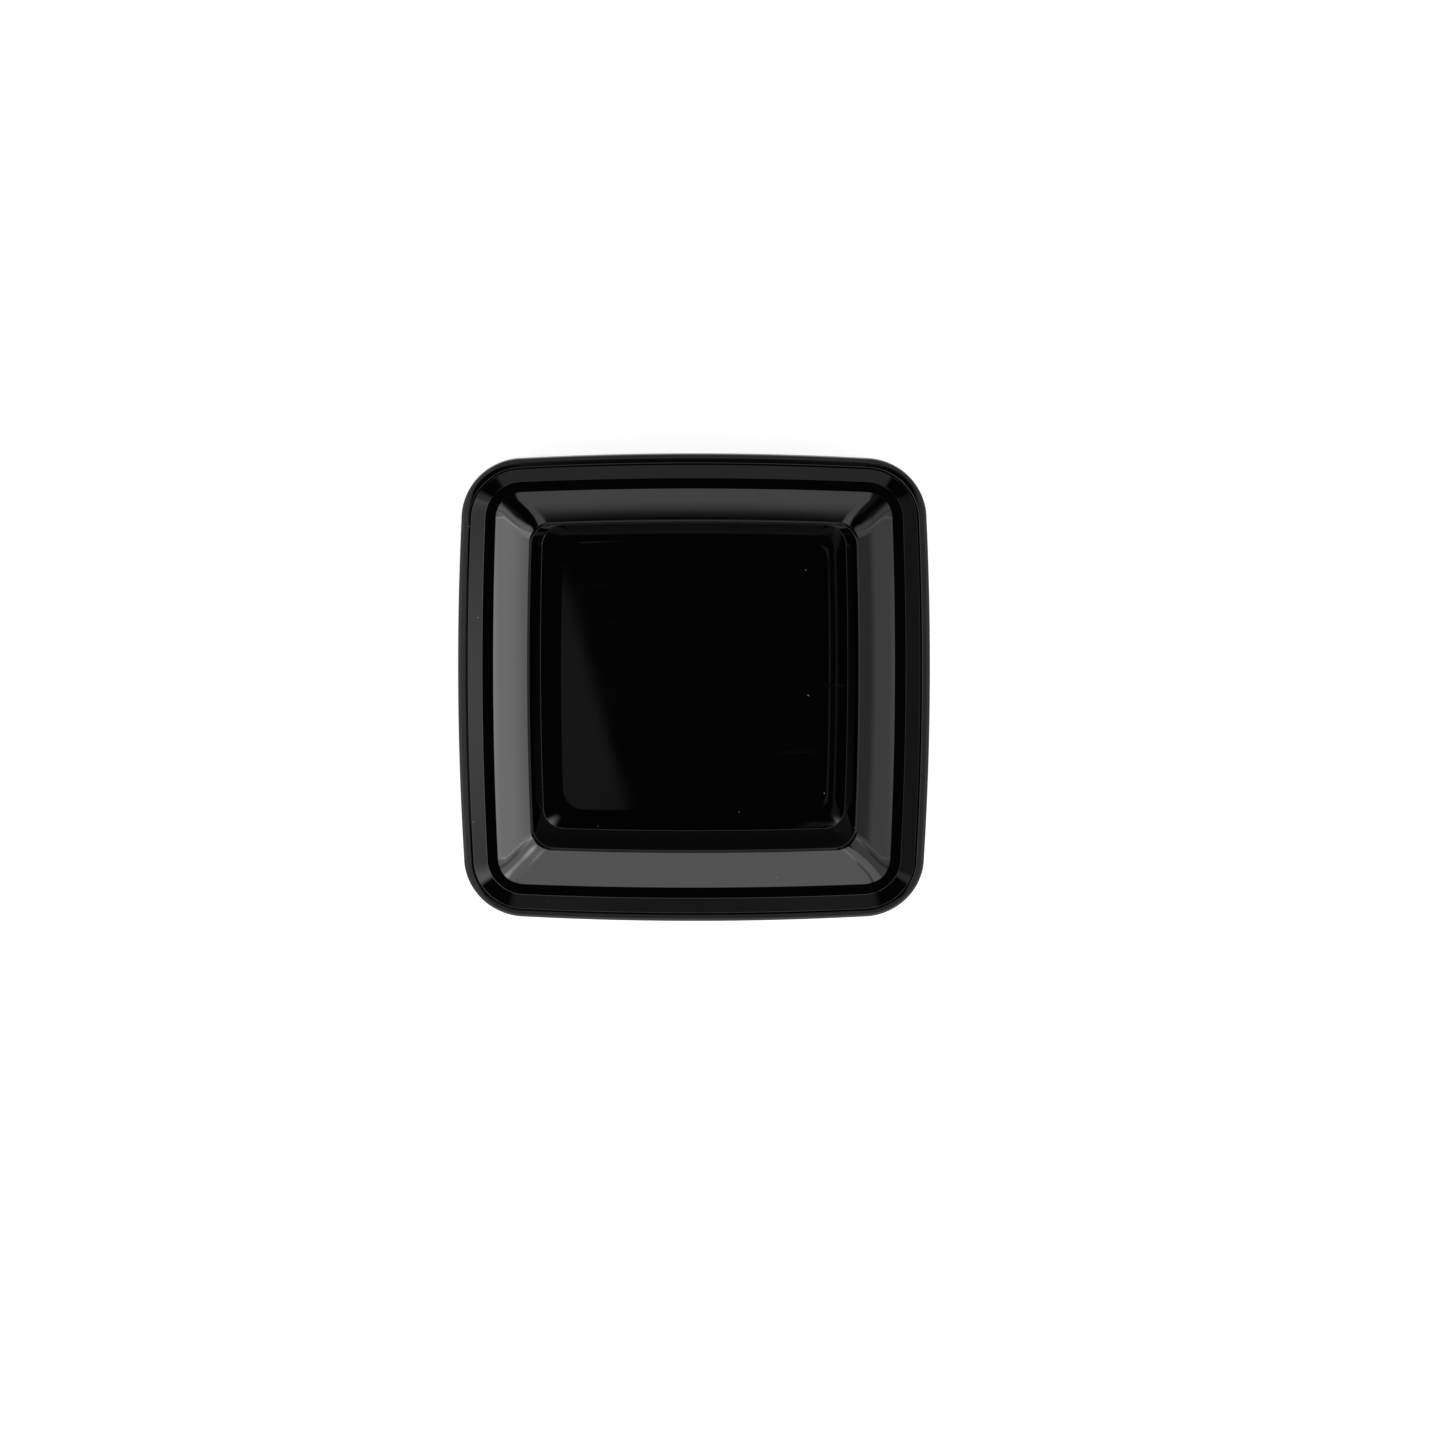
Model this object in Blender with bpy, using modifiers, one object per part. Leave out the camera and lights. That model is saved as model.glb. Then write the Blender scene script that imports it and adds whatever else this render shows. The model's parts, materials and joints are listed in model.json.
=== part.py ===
"""Square pressed powder compact, closed: a dished lid on a back hinge, over a base with a front button.

The origin is the middle of the underside. +Z is up, +Y points to the hinge and +X to the right.
Plan outlines are rounded squares with slightly bowed sides, named by their inset from the lip's outline.
"""

import math
from functools import partial

import bmesh
import bpy
from mathutils import Vector

MM = 0.001

# Overall sizes. The height is the sum of what is stacked inside, worked out below
WIDTH = 70.0 * MM
DEPTH = 71.7 * MM

# Outline of the lip
CORNER_RADIUS = 9.2 * MM
SMALLEST_CORNER = 3.2 * MM
SIDE_BOW = 0.68 * MM
FLOOR_BOW = 0.25 * MM

# Walls and clearances
WALL = 1.3 * MM
GAP = 0.3 * MM
PARTING_GAP = 0.3 * MM

# Dished top: insets from the lip's outline, and drops below the crest
CREST_INSET = 1.35 * MM
BAND_INSET = 3.55 * MM
BAND_DROP = 0.68 * MM
LEDGE_INSET = 5.2 * MM
LEDGE_DROP = 0.75 * MM
SLOPE_INSET = 10.45 * MM
SLOPE_DROP = 2.1 * MM
FOOT_INSET = 12.0 * MM
FOOT_DROP = 7.5 * MM
FLOOR_INSET = 15.2 * MM
FLOOR_DROP = 7.9 * MM

# Outer side walls
LIP_THICKNESS = 1.9 * MM
SKIRT_INSET = 4.4 * MM
BASE_TAPER = 0.7 * MM
BASE_FOOT_ROUND = 2.2 * MM

# Base and deck
BASE_FLOOR = 1.5 * MM
BASE_INNER_ROUND = 0.7 * MM
DECK_PLATE = 1.6 * MM
WELL_WALL = 1.0 * MM
WELL_FLOOR = 0.9 * MM
DECK_SINK = 0.3 * MM
SIDE_BORDER = 5.0 * MM
WELL_LAND = 0.65 * MM
DECK_EDGE = 0.4 * MM

# Pan and powder
PAN_CORNER = 3.0 * MM
PAN_SHEET = 0.4 * MM
PAD_THICKNESS = 0.2 * MM
PAD_CORNER = 3.0 * MM
PAN_PAD_SIDE = 30.0 * MM
POWDER_THICKNESS = 2.1 * MM
POWDER_EDGE = 0.45 * MM
FILM_THICKNESS = 0.2 * MM

# Puff
PUFF_ROOM = 1.8 * MM
AIR_OVER_PUFF = 0.6 * MM
RIM_OVER_PUFF = 0.3 * MM
PUFF_CORNER = 7.0 * MM
PUFF_THICKNESS = 1.5 * MM
PUFF_BACKING = 0.3 * MM
RIBBON_WIDTH = 11.0 * MM
RIBBON_THICKNESS = 0.2 * MM

# Mirror
MIRROR_CORNER = 2.5 * MM
MIRROR_THICKNESS = 1.2 * MM
MIRROR_PAD_SIDE = 34.0 * MM
FRAME_SHELF = 3.2 * MM
FRAME_LAND = 0.45 * MM
FRAME_RIB = 3.0 * MM
FRAME_WALL = 0.9 * MM
FRAME_OVERLAP = 0.7 * MM

# Hinge
KNUCKLE_RADIUS = 1.4 * MM
PIN_RADIUS = 0.55 * MM
PIN_LENGTH = 9.0 * MM
PIN_CLEARANCE = 0.2 * MM
KNUCKLE_CLEARANCE = 0.3 * MM
MIDDLE_KNUCKLE = 28.0 * MM
OUTER_KNUCKLE = 6.0 * MM
WEB_DROP = 2.8 * MM

# Button and latch
BUTTON_WIDTH = 13.0 * MM
BUTTON_HEIGHT = 2.8 * MM
BUTTON_PROUD = 0.45 * MM
BUTTON_TRAVEL = 0.8 * MM
FLANGE_MARGIN = 0.8 * MM
FLANGE_THICKNESS = 0.8 * MM
HOOK_WIDTH = 8.0 * MM
HOOK_THICKNESS = 1.0 * MM
BARB_DEPTH = 0.45 * MM
BARB_HEIGHT = 0.5 * MM
SPRING_THICKNESS = 0.25 * MM
SPRING_HEIGHT = 1.4 * MM
SPRING_SPAN = 15.0 * MM

# Label
LABEL_SIDE = 26.0 * MM
LABEL_CORNER = 3.0 * MM
LABEL_THICKNESS = 0.15 * MM
LABEL_RECESS = 0.55 * MM

# Facets
CORNER_STEPS = 7
SIDE_STEPS = 4
ROUND_STEPS = 24

# Heights, each stacked on the one below it
WELL_UNDER = BASE_FLOOR + GAP
WELL_TOP = WELL_UNDER + WELL_FLOOR
PAN_PAD_Z = WELL_TOP + GAP
PAN_Z = PAN_PAD_Z + PAD_THICKNESS + GAP
POWDER_Z = PAN_Z + PAN_SHEET + GAP
POWDER_TOP = POWDER_Z + POWDER_THICKNESS
FILM_Z = POWDER_TOP + GAP
PUFF_Z = FILM_Z + FILM_THICKNESS + GAP
BACKING_Z = PUFF_Z + PUFF_THICKNESS + GAP
RIBBON_Z = BACKING_Z + PUFF_BACKING + GAP
RIBBON_TOP = RIBBON_Z + RIBBON_THICKNESS
PARTING_Z = RIBBON_TOP + RIM_OVER_PUFF
MIRROR_Z = RIBBON_TOP + AIR_OVER_PUFF
MIRROR_TOP = MIRROR_Z + MIRROR_THICKNESS
MIRROR_PAD_Z = MIRROR_TOP + GAP
FLOOR_UNDER = MIRROR_PAD_Z + PAD_THICKNESS + GAP
FLOOR_TOP = FLOOR_UNDER + WALL
HEIGHT = FLOOR_TOP + FLOOR_DROP

# Heights at the parting plane and at the latch
BASE_TOP = PARTING_Z - PARTING_GAP / 2
LID_BOTTOM = PARTING_Z + PARTING_GAP / 2
FRAME_LOW = BASE_TOP - FRAME_OVERLAP
DECK_STEP = FRAME_LOW - GAP
DECK_TOP = BASE_TOP - DECK_SINK
DECK_UNDER = DECK_TOP - DECK_PLATE
BARB_TOP = DECK_UNDER - GAP
BARB_LOW = BARB_TOP - BARB_HEIGHT
BUTTON_Z = BARB_LOW - GAP - FLANGE_MARGIN - BUTTON_HEIGHT / 2

# Plan places: the hinge at the back wall, and the latch behind the front wall
INNER_INSET = SKIRT_INSET + WALL
FRAME_INSET = INNER_INSET + GAP
STEP_INSET = FRAME_INSET + FRAME_WALL + GAP
HINGE_Y = DEPTH / 2 - SKIRT_INSET
FRONT_WALL_Y = -HINGE_Y
FLANGE_OUT_Y = FRONT_WALL_Y + WALL + BASE_TAPER + GAP
FLANGE_IN_Y = FLANGE_OUT_Y + FLANGE_THICKNESS
HOOK_OUT_Y = FLANGE_IN_Y + BUTTON_TRAVEL + GAP
HOOK_IN_Y = HOOK_OUT_Y + HOOK_THICKNESS
WELL_HALF = (WIDTH / 2 - INNER_INSET - SIDE_BORDER, -HOOK_IN_Y - GAP - WELL_LAND - WELL_WALL)
WINDOW_HALF = (WIDTH / 2 - FRAME_INSET - FRAME_SHELF, -HOOK_IN_Y - FRAME_LAND)


def clear_scene():
    for obj in list(bpy.data.objects):
        bpy.data.objects.remove(obj, do_unlink=True)
    for collection in list(bpy.data.collections):
        bpy.data.collections.remove(collection)


def new_collection(name):
    collection = bpy.data.collections.new(name)
    bpy.context.scene.collection.children.link(collection)
    return collection


def material(name, colour, roughness, metallic=0.0, alpha=1.0):
    mat = bpy.data.materials.new(name)
    mat.use_nodes = True
    shader = mat.node_tree.nodes["Principled BSDF"]
    shader.inputs["Base Color"].default_value = (*colour, 1.0)
    shader.inputs["Roughness"].default_value = roughness
    shader.inputs["Metallic"].default_value = metallic
    shader.inputs["Alpha"].default_value = alpha
    return mat


def put(bm, name, collection, mat=None, origin=(0.0, 0.0, 0.0)):
    """Makes an object of the mesh, with its origin at a chosen point."""
    bmesh.ops.recalc_face_normals(bm, faces=bm.faces)
    bmesh.ops.translate(bm, verts=bm.verts, vec=-Vector(origin))
    mesh = bpy.data.meshes.new(name)
    bm.to_mesh(mesh)
    bm.free()
    mesh.shade_smooth()
    mesh.set_sharp_from_angle(angle=math.radians(30))
    obj = bpy.data.objects.new(name, mesh)
    obj.location = origin
    collection.objects.link(obj)
    if mat:
        mesh.materials.append(mat)
    return obj


def rounded_square(half_x, half_y, radius, bow, z):
    """Points of a rounded rectangle whose sides bow outwards at their middles, anticlockwise from +X."""
    points = []
    corners = ((1, 1, 0), (-1, 1, 90), (-1, -1, 180), (1, -1, 270))
    for sx, sy, start in corners:
        centre_x = sx * (half_x - bow - radius)
        centre_y = sy * (half_y - bow - radius)
        for step in range(CORNER_STEPS + 1):
            angle = math.radians(start + 90 * step / CORNER_STEPS)
            x = centre_x + radius * math.cos(angle)
            y = centre_y + radius * math.sin(angle)
            points.append(Vector((x, y, z)))
        along_x = start in (0, 180)
        run = 2 * (half_x - bow - radius) if along_x else 2 * (half_y - bow - radius)
        end = points[-1]
        for step in range(1, SIDE_STEPS):
            part = step / SIDE_STEPS
            swell = 4 * bow * part * (1 - part)
            if along_x:
                points.append(Vector((end.x - sx * run * part, end.y + sy * swell, z)))
            else:
                points.append(Vector((end.x + sx * swell, end.y - sy * run * part, z)))
    return points


def inset_ring(inset, z):
    """The lip's outline moved in by inset, at height z."""
    radius = max(CORNER_RADIUS - inset, SMALLEST_CORNER)
    part = min(inset / FLOOR_INSET, 1.0)
    bow = SIDE_BOW + (FLOOR_BOW - SIDE_BOW) * part
    return rounded_square(WIDTH / 2 - inset, DEPTH / 2 - inset, radius, bow, z)


def square_ring(half, radius, z):
    return rounded_square(half, half, radius, 0.0, z)


def well_ring(shrink, radius, z):
    """The outline of the deck's well, made smaller by shrink all round."""
    return rounded_square(WELL_HALF[0] - shrink, WELL_HALF[1] - shrink, radius, 0.0, z)


def window_ring(shrink, z):
    """The outline of the mirror frame's window, made smaller by shrink all round."""
    return rounded_square(WINDOW_HALF[0] - shrink, WINDOW_HALF[1] - shrink, MIRROR_CORNER, 0.0, z)


def loft(rings, closed=False):
    """Joins rings of equal point counts into one skin, with end caps or closed on itself."""
    bm = bmesh.new()
    rows = [[bm.verts.new(point) for point in ring] for ring in rings]
    pairs = list(zip(rows, rows[1:]))
    if closed:
        pairs.append((rows[-1], rows[0]))
    else:
        bm.faces.new(rows[0])
        bm.faces.new(rows[-1])
    count = len(rows[0])
    for low, high in pairs:
        for i in range(count):
            j = (i + 1) % count
            bm.faces.new((low[i], low[j], high[j], high[i]))
    return bm


def box(low, high):
    bm = bmesh.new()
    bmesh.ops.create_cube(bm, size=1.0)
    size = Vector(high) - Vector(low)
    bmesh.ops.scale(bm, vec=size, verts=bm.verts)
    bmesh.ops.translate(bm, vec=(Vector(low) + Vector(high)) / 2, verts=bm.verts)
    return bm


def rod(radius, start_x, end_x, y, z):
    """A round bar along X."""
    bm = bmesh.new()
    bmesh.ops.create_cone(
        bm, cap_ends=True, segments=ROUND_STEPS, radius1=radius, radius2=radius, depth=end_x - start_x
    )
    for vert in bm.verts:
        x, across, up = vert.co.z, vert.co.x, vert.co.y
        vert.co = Vector(((start_x + end_x) / 2 + x, y + across, z + up))
    return bm


def slab(half_x, half_z, radius, y_out, y_in, z):
    """A rounded rectangle that faces -Y, from y_out back to y_in, centred at height z."""
    outer = rounded_square(half_x, half_z, radius, 0.0, 0.0)
    rings = [[Vector((p.x, y, z + p.y)) for p in outer] for y in (y_out, y_in)]
    return loft(rings)


class Cutters:
    """Helper solids, kept out of the model, and the Booleans that use them."""

    def __init__(self, collection):
        self.collection = collection

    def helper(self, bm, name):
        obj = put(bm, name, self.collection)
        obj.hide_render = True
        obj.display_type = "WIRE"
        return obj

    def apply(self, obj, bm, name, operation):
        modifier = obj.modifiers.new(name, "BOOLEAN")
        modifier.object = self.helper(bm, name)
        modifier.operation = operation
        modifier.solver = "EXACT"

    def cut(self, obj, bm, name):
        self.apply(obj, bm, name, "DIFFERENCE")

    def join(self, obj, bm, name):
        self.apply(obj, bm, name, "UNION")


def knuckle_spans():
    """X ranges of the base's middle knuckle and of the lid's two outer ones."""
    middle = MIDDLE_KNUCKLE / 2
    start = middle + KNUCKLE_CLEARANCE
    end = start + OUTER_KNUCKLE
    return (-middle, middle), ((-end, -start), (start, end))


def knuckle_clearance(span):
    """The room that one part leaves round the other part's knuckle."""
    radius = KNUCKLE_RADIUS + KNUCKLE_CLEARANCE
    return rod(radius, span[0] - KNUCKLE_CLEARANCE, span[1] + KNUCKLE_CLEARANCE, HINGE_Y, PARTING_Z)


def web(span, z_end):
    """The gusset that ties a knuckle to its wall, thinning out towards z_end."""
    inner = HINGE_Y - WALL * 0.7
    rings = []
    for outer, z in ((HINGE_Y + KNUCKLE_RADIUS * 0.9, PARTING_Z), (HINGE_Y - WALL * 0.2, z_end)):
        corners = ((span[0], inner), (span[1], inner), (span[1], outer), (span[0], outer))
        rings.append([Vector((x, y, z)) for x, y in corners])
    return loft(rings)


def pin_bores():
    """One bore for each hinge pin, open at the outer knuckle's end."""
    _, outer = knuckle_spans()
    reach = outer[1][1]
    radius = PIN_RADIUS + PIN_CLEARANCE
    inner = reach - PIN_LENGTH - 2 * GAP
    for side, name in ((-1, "left"), (1, "right")):
        ends = sorted((side * inner, side * (reach + KNUCKLE_CLEARANCE / 3)))
        yield name, rod(radius, ends[0], ends[1], HINGE_Y, PARTING_Z)


def lid_profile():
    """(inset, height) down the outside of the lid, from the floor's edge to the skirt's inside and back."""
    crest = HEIGHT
    lip_under = crest - LIP_THICKNESS
    fillet = FLOOR_INSET - FOOT_INSET
    return [
        (FLOOR_INSET, FLOOR_TOP),
        (FOOT_INSET + 0.45 * fillet, FLOOR_TOP + 0.08 * (FLOOR_DROP - FOOT_DROP)),
        (FOOT_INSET + 0.15 * fillet, FLOOR_TOP + 0.4 * (FLOOR_DROP - FOOT_DROP)),
        (FOOT_INSET, crest - FOOT_DROP),
        (SLOPE_INSET + 0.25 * MM, crest - SLOPE_DROP - 0.4 * MM),
        (SLOPE_INSET, crest - SLOPE_DROP),
        ((SLOPE_INSET + LEDGE_INSET) / 2, crest - (SLOPE_DROP + LEDGE_DROP) / 2),
        (LEDGE_INSET, crest - LEDGE_DROP),
        (BAND_INSET, crest - BAND_DROP),
        (CREST_INSET + 0.35 * MM, crest - 0.08 * MM),
        (CREST_INSET, crest),
        (0.75 * MM, crest - 0.1 * MM),
        (0.25 * MM, crest - 0.4 * MM),
        (0.0, crest - 0.9 * MM),
        (0.15 * MM, crest - 1.4 * MM),
        (0.7 * MM, lip_under),
        (0.55 * SKIRT_INSET, lip_under - 0.5 * MM),
        (0.85 * SKIRT_INSET, lip_under - 1.5 * MM),
        (SKIRT_INSET, lip_under - 3.2 * MM),
        (SKIRT_INSET, LID_BOTTOM),
        (INNER_INSET, LID_BOTTOM),
        (INNER_INSET, crest - LEDGE_DROP - 2.2 * WALL),
        (INNER_INSET + 0.5 * MM, crest - LEDGE_DROP - 1.2 * WALL),
        (SLOPE_INSET - WALL, crest - SLOPE_DROP - WALL),
        (FOOT_INSET - WALL, crest - FOOT_DROP),
        (FOOT_INSET - WALL, FLOOR_UNDER),
    ]


def base_profile():
    """(inset, height) of the base from its inside floor over the rim to its underside."""
    foot_inset = SKIRT_INSET + BASE_TAPER
    inner = INNER_INSET + BASE_TAPER
    return [
        (inner + BASE_INNER_ROUND, BASE_FLOOR),
        (inner + 0.3 * BASE_INNER_ROUND, BASE_FLOOR + 0.3 * BASE_INNER_ROUND),
        (inner, BASE_FLOOR + BASE_INNER_ROUND),
        (INNER_INSET, BASE_TOP),
        (SKIRT_INSET, BASE_TOP),
        (SKIRT_INSET + 0.3 * BASE_TAPER, 0.7 * PARTING_Z),
        (foot_inset, BASE_FOOT_ROUND),
        (foot_inset + 0.13 * BASE_FOOT_ROUND, 0.5 * BASE_FOOT_ROUND),
        (foot_inset + 0.5 * BASE_FOOT_ROUND, 0.13 * BASE_FOOT_ROUND),
        (foot_inset + BASE_FOOT_ROUND, 0.0),
    ]


def make_lid_cover(parts, cutters, mat):
    bm = loft([inset_ring(inset, z) for inset, z in lid_profile()])
    obj = put(bm, "lid_cover", parts, mat, (0.0, HINGE_Y, PARTING_Z))
    middle, outer = knuckle_spans()
    cutters.cut(obj, knuckle_clearance(middle), "lid_room_middle")
    for i, span in enumerate(outer):
        cutters.join(obj, rod(KNUCKLE_RADIUS, span[0], span[1], HINGE_Y, PARTING_Z), f"lid_knuckle_{i}")
        cutters.join(obj, web(span, PARTING_Z + WEB_DROP), f"lid_web_{i}")
    for name, bore in pin_bores():
        cutters.cut(obj, bore, f"lid_bore_{name}")
    return obj


def make_mirror_frame(parts, cutters, mat):
    """A rim that stands inside the skirt and dips behind the base's rim, with the latch hook at its front."""
    inside = FRAME_INSET + FRAME_WALL
    rib_top = MIRROR_TOP + FRAME_RIB
    rings = [
        window_ring(0.0, MIRROR_Z),
        inset_ring(inside, MIRROR_Z),
        inset_ring(inside, FRAME_LOW),
        inset_ring(FRAME_INSET, FRAME_LOW),
        inset_ring(FRAME_INSET, rib_top),
        inset_ring(inside, rib_top),
        inset_ring(inside, MIRROR_TOP),
        window_ring(0.0, MIRROR_TOP),
    ]
    obj = put(loft(rings, closed=True), "mirror_frame", parts, mat, (0.0, HINGE_Y, PARTING_Z))
    middle, outer = knuckle_spans()
    for i, span in enumerate((middle, *outer)):
        cutters.cut(obj, knuckle_clearance(span), f"frame_room_{i}")
    half = HOOK_WIDTH / 2
    tab = box((-half, HOOK_OUT_Y, BUTTON_Z), (half, HOOK_IN_Y, MIRROR_TOP - GAP))
    cutters.join(obj, tab, "hook_tab")
    barb = box(
        (-half, HOOK_OUT_Y - BARB_DEPTH, BARB_LOW),
        (half, HOOK_OUT_Y + HOOK_THICKNESS / 2, BARB_TOP),
    )
    cutters.join(obj, barb, "hook_barb")
    return obj


def make_sheet(name, parts, mat, ring, z, thickness, origin=(0.0, 0.0, 0.0)):
    """A flat sheet. ring gives its outline at any height."""
    return put(loft([ring(z), ring(z + thickness)]), name, parts, mat, origin)


def make_base_shell(parts, cutters, mat):
    obj = put(loft([inset_ring(inset, z) for inset, z in base_profile()]), "base_shell", parts, mat)
    middle, outer = knuckle_spans()
    for i, span in enumerate(outer):
        cutters.cut(obj, knuckle_clearance(span), f"base_room_{i}")
    cutters.join(obj, rod(KNUCKLE_RADIUS, middle[0], middle[1], HINGE_Y, PARTING_Z), "base_knuckle")
    cutters.join(obj, web(middle, PARTING_Z - WEB_DROP), "base_web")
    for name, bore in pin_bores():
        cutters.cut(obj, bore, f"base_bore_{name}")
    window = slab(
        BUTTON_WIDTH / 2 + GAP,
        BUTTON_HEIGHT / 2 + GAP,
        BUTTON_HEIGHT / 2,
        FRONT_WALL_Y - WALL,
        FLANGE_OUT_Y + GAP,
        BUTTON_Z,
    )
    cutters.cut(obj, window, "button_window")
    recess = loft(
        [
            square_ring(LABEL_SIDE / 2 + GAP, LABEL_CORNER, -WALL),
            square_ring(LABEL_SIDE / 2 + GAP, LABEL_CORNER, LABEL_RECESS),
        ]
    )
    cutters.cut(obj, recess, "label_recess")
    return obj


def make_base_deck(parts, cutters, mat):
    """A plate with a square well, in one moulding."""
    rings = [
        well_ring(0.0, PAN_CORNER, WELL_TOP),
        well_ring(0.0, PAN_CORNER, DECK_TOP - DECK_EDGE),
        well_ring(-DECK_EDGE, PAN_CORNER, DECK_TOP),
        inset_ring(STEP_INSET, DECK_TOP),
        inset_ring(STEP_INSET, DECK_STEP),
        inset_ring(FRAME_INSET + DECK_EDGE, DECK_STEP),
        inset_ring(FRAME_INSET + DECK_EDGE + BASE_TAPER / 2, DECK_UNDER),
        well_ring(-WELL_WALL, PAN_CORNER, DECK_UNDER),
        well_ring(-WELL_WALL, PAN_CORNER, WELL_UNDER),
    ]
    obj = put(loft(rings), "base_deck", parts, mat)
    middle, outer_spans = knuckle_spans()
    for i, span in enumerate((middle, *outer_spans)):
        cutters.cut(obj, knuckle_clearance(span), f"deck_room_{i}")
    slot = box(
        (-HOOK_WIDTH / 2 - GAP, HOOK_OUT_Y - BARB_DEPTH - GAP, DECK_UNDER - WALL),
        (HOOK_WIDTH / 2 + GAP, HOOK_IN_Y + GAP, DECK_TOP + WALL),
    )
    cutters.cut(obj, slot, "hook_slot")
    return obj


def make_powder_pan(parts, mat):
    """A pressed aluminium tray, as deep as its powder."""
    inside = GAP + PAN_SHEET
    inner_corner = PAN_CORNER - PAN_SHEET
    rings = [
        well_ring(GAP + 2 * PAN_SHEET, PAN_CORNER, PAN_Z),
        well_ring(GAP, PAN_CORNER, PAN_Z + 2 * PAN_SHEET),
        well_ring(GAP, PAN_CORNER, POWDER_TOP),
        well_ring(inside, inner_corner, POWDER_TOP),
        well_ring(inside, inner_corner, PAN_Z + 2 * PAN_SHEET),
        well_ring(inside + PAN_SHEET, inner_corner, PAN_Z + PAN_SHEET),
    ]
    return put(loft(rings), "powder_pan", parts, mat)


def make_pressed_powder(parts, mat):
    """A cake with a low rounded edge, level with the pan's rim."""
    side = 2 * GAP + PAN_SHEET
    corner = PAN_CORNER - PAN_SHEET
    rings = [
        well_ring(side + PAN_SHEET + GAP, corner, POWDER_Z),
        well_ring(side, corner, POWDER_Z + PAN_SHEET + GAP),
        well_ring(side, corner, POWDER_TOP - POWDER_EDGE),
        well_ring(side + 0.7 * POWDER_EDGE, corner, POWDER_TOP - 0.2 * POWDER_EDGE),
        well_ring(side + 2.5 * POWDER_EDGE, corner, POWDER_TOP),
    ]
    return put(loft(rings), "pressed_powder", parts, mat)


def make_powder_puff(parts, mat):
    """A thin soft square pad with full edges."""
    rings = []
    for part in (0.0, 0.2, 0.5, 0.8, 1.0):
        pull = (1 - math.sin(math.pi * part)) * PUFF_THICKNESS / 2
        z = PUFF_Z + part * PUFF_THICKNESS
        rings.append(well_ring(PUFF_ROOM + pull, PUFF_CORNER - pull, z))
    return put(loft(rings), "powder_puff", parts, mat)


def make_puff_ribbon(parts, mat):
    """A flat band across the puff's back."""
    half = WELL_HALF[0] - PUFF_ROOM - PUFF_THICKNESS
    low = (-half, -RIBBON_WIDTH / 2, RIBBON_Z)
    high = (half, RIBBON_WIDTH / 2, RIBBON_Z + RIBBON_THICKNESS)
    return put(box(low, high), "puff_ribbon", parts, mat)


def make_hinge_pins(parts, mat):
    _, outer = knuckle_spans()
    reach = outer[1][1] - GAP
    for side, name in ((-1, "left"), (1, "right")):
        ends = sorted((side * (reach - PIN_LENGTH), side * reach))
        bm = rod(PIN_RADIUS, ends[0], ends[1], HINGE_Y, PARTING_Z)
        put(bm, f"hinge_pin_{name}", parts, mat, (0.0, HINGE_Y, PARTING_Z))


def make_push_button(parts, cutters, mat):
    """The button's face stands a little proud, and a wider flange behind the wall holds it in."""
    radius = BUTTON_HEIGHT / 2 - 0.05 * MM
    face_y = FRONT_WALL_Y - BUTTON_PROUD
    back_y = FLANGE_OUT_Y + FLANGE_THICKNESS / 2
    bm = slab(BUTTON_WIDTH / 2, BUTTON_HEIGHT / 2, radius, face_y, back_y, BUTTON_Z)
    obj = put(bm, "push_button", parts, mat, (0.0, FRONT_WALL_Y, BUTTON_Z))
    rounding = obj.modifiers.new("face_round", "BEVEL")
    rounding.width = 0.25 * MM
    rounding.segments = 2
    flange = slab(
        BUTTON_WIDTH / 2 + FLANGE_MARGIN,
        BUTTON_HEIGHT / 2 + FLANGE_MARGIN,
        BUTTON_HEIGHT / 2,
        FLANGE_OUT_Y,
        FLANGE_IN_Y,
        BUTTON_Z,
    )
    cutters.join(obj, flange, "button_flange")
    return obj


def make_button_spring(parts, mat):
    """A bowed leaf whose middle bears on the button and whose ends bear on the well."""
    crown_y = FLANGE_IN_Y + GAP
    end_y = -(WELL_HALF[1] + WELL_WALL) - GAP - SPRING_THICKNESS
    low = BUTTON_Z - GAP - SPRING_HEIGHT
    steps = 12
    rings = []
    for step in range(steps + 1):
        part = step / steps
        x = SPRING_SPAN * (part - 0.5)
        y = crown_y + (end_y - crown_y) * (1 - math.cos(math.pi * (2 * part - 1))) / 2
        front = Vector((x, y, low))
        back = Vector((x, y + SPRING_THICKNESS, low))
        up = Vector((0.0, 0.0, SPRING_HEIGHT))
        rings.append([front, back, back + up, front + up])
    return put(loft(rings), "button_spring", parts, mat)


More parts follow.
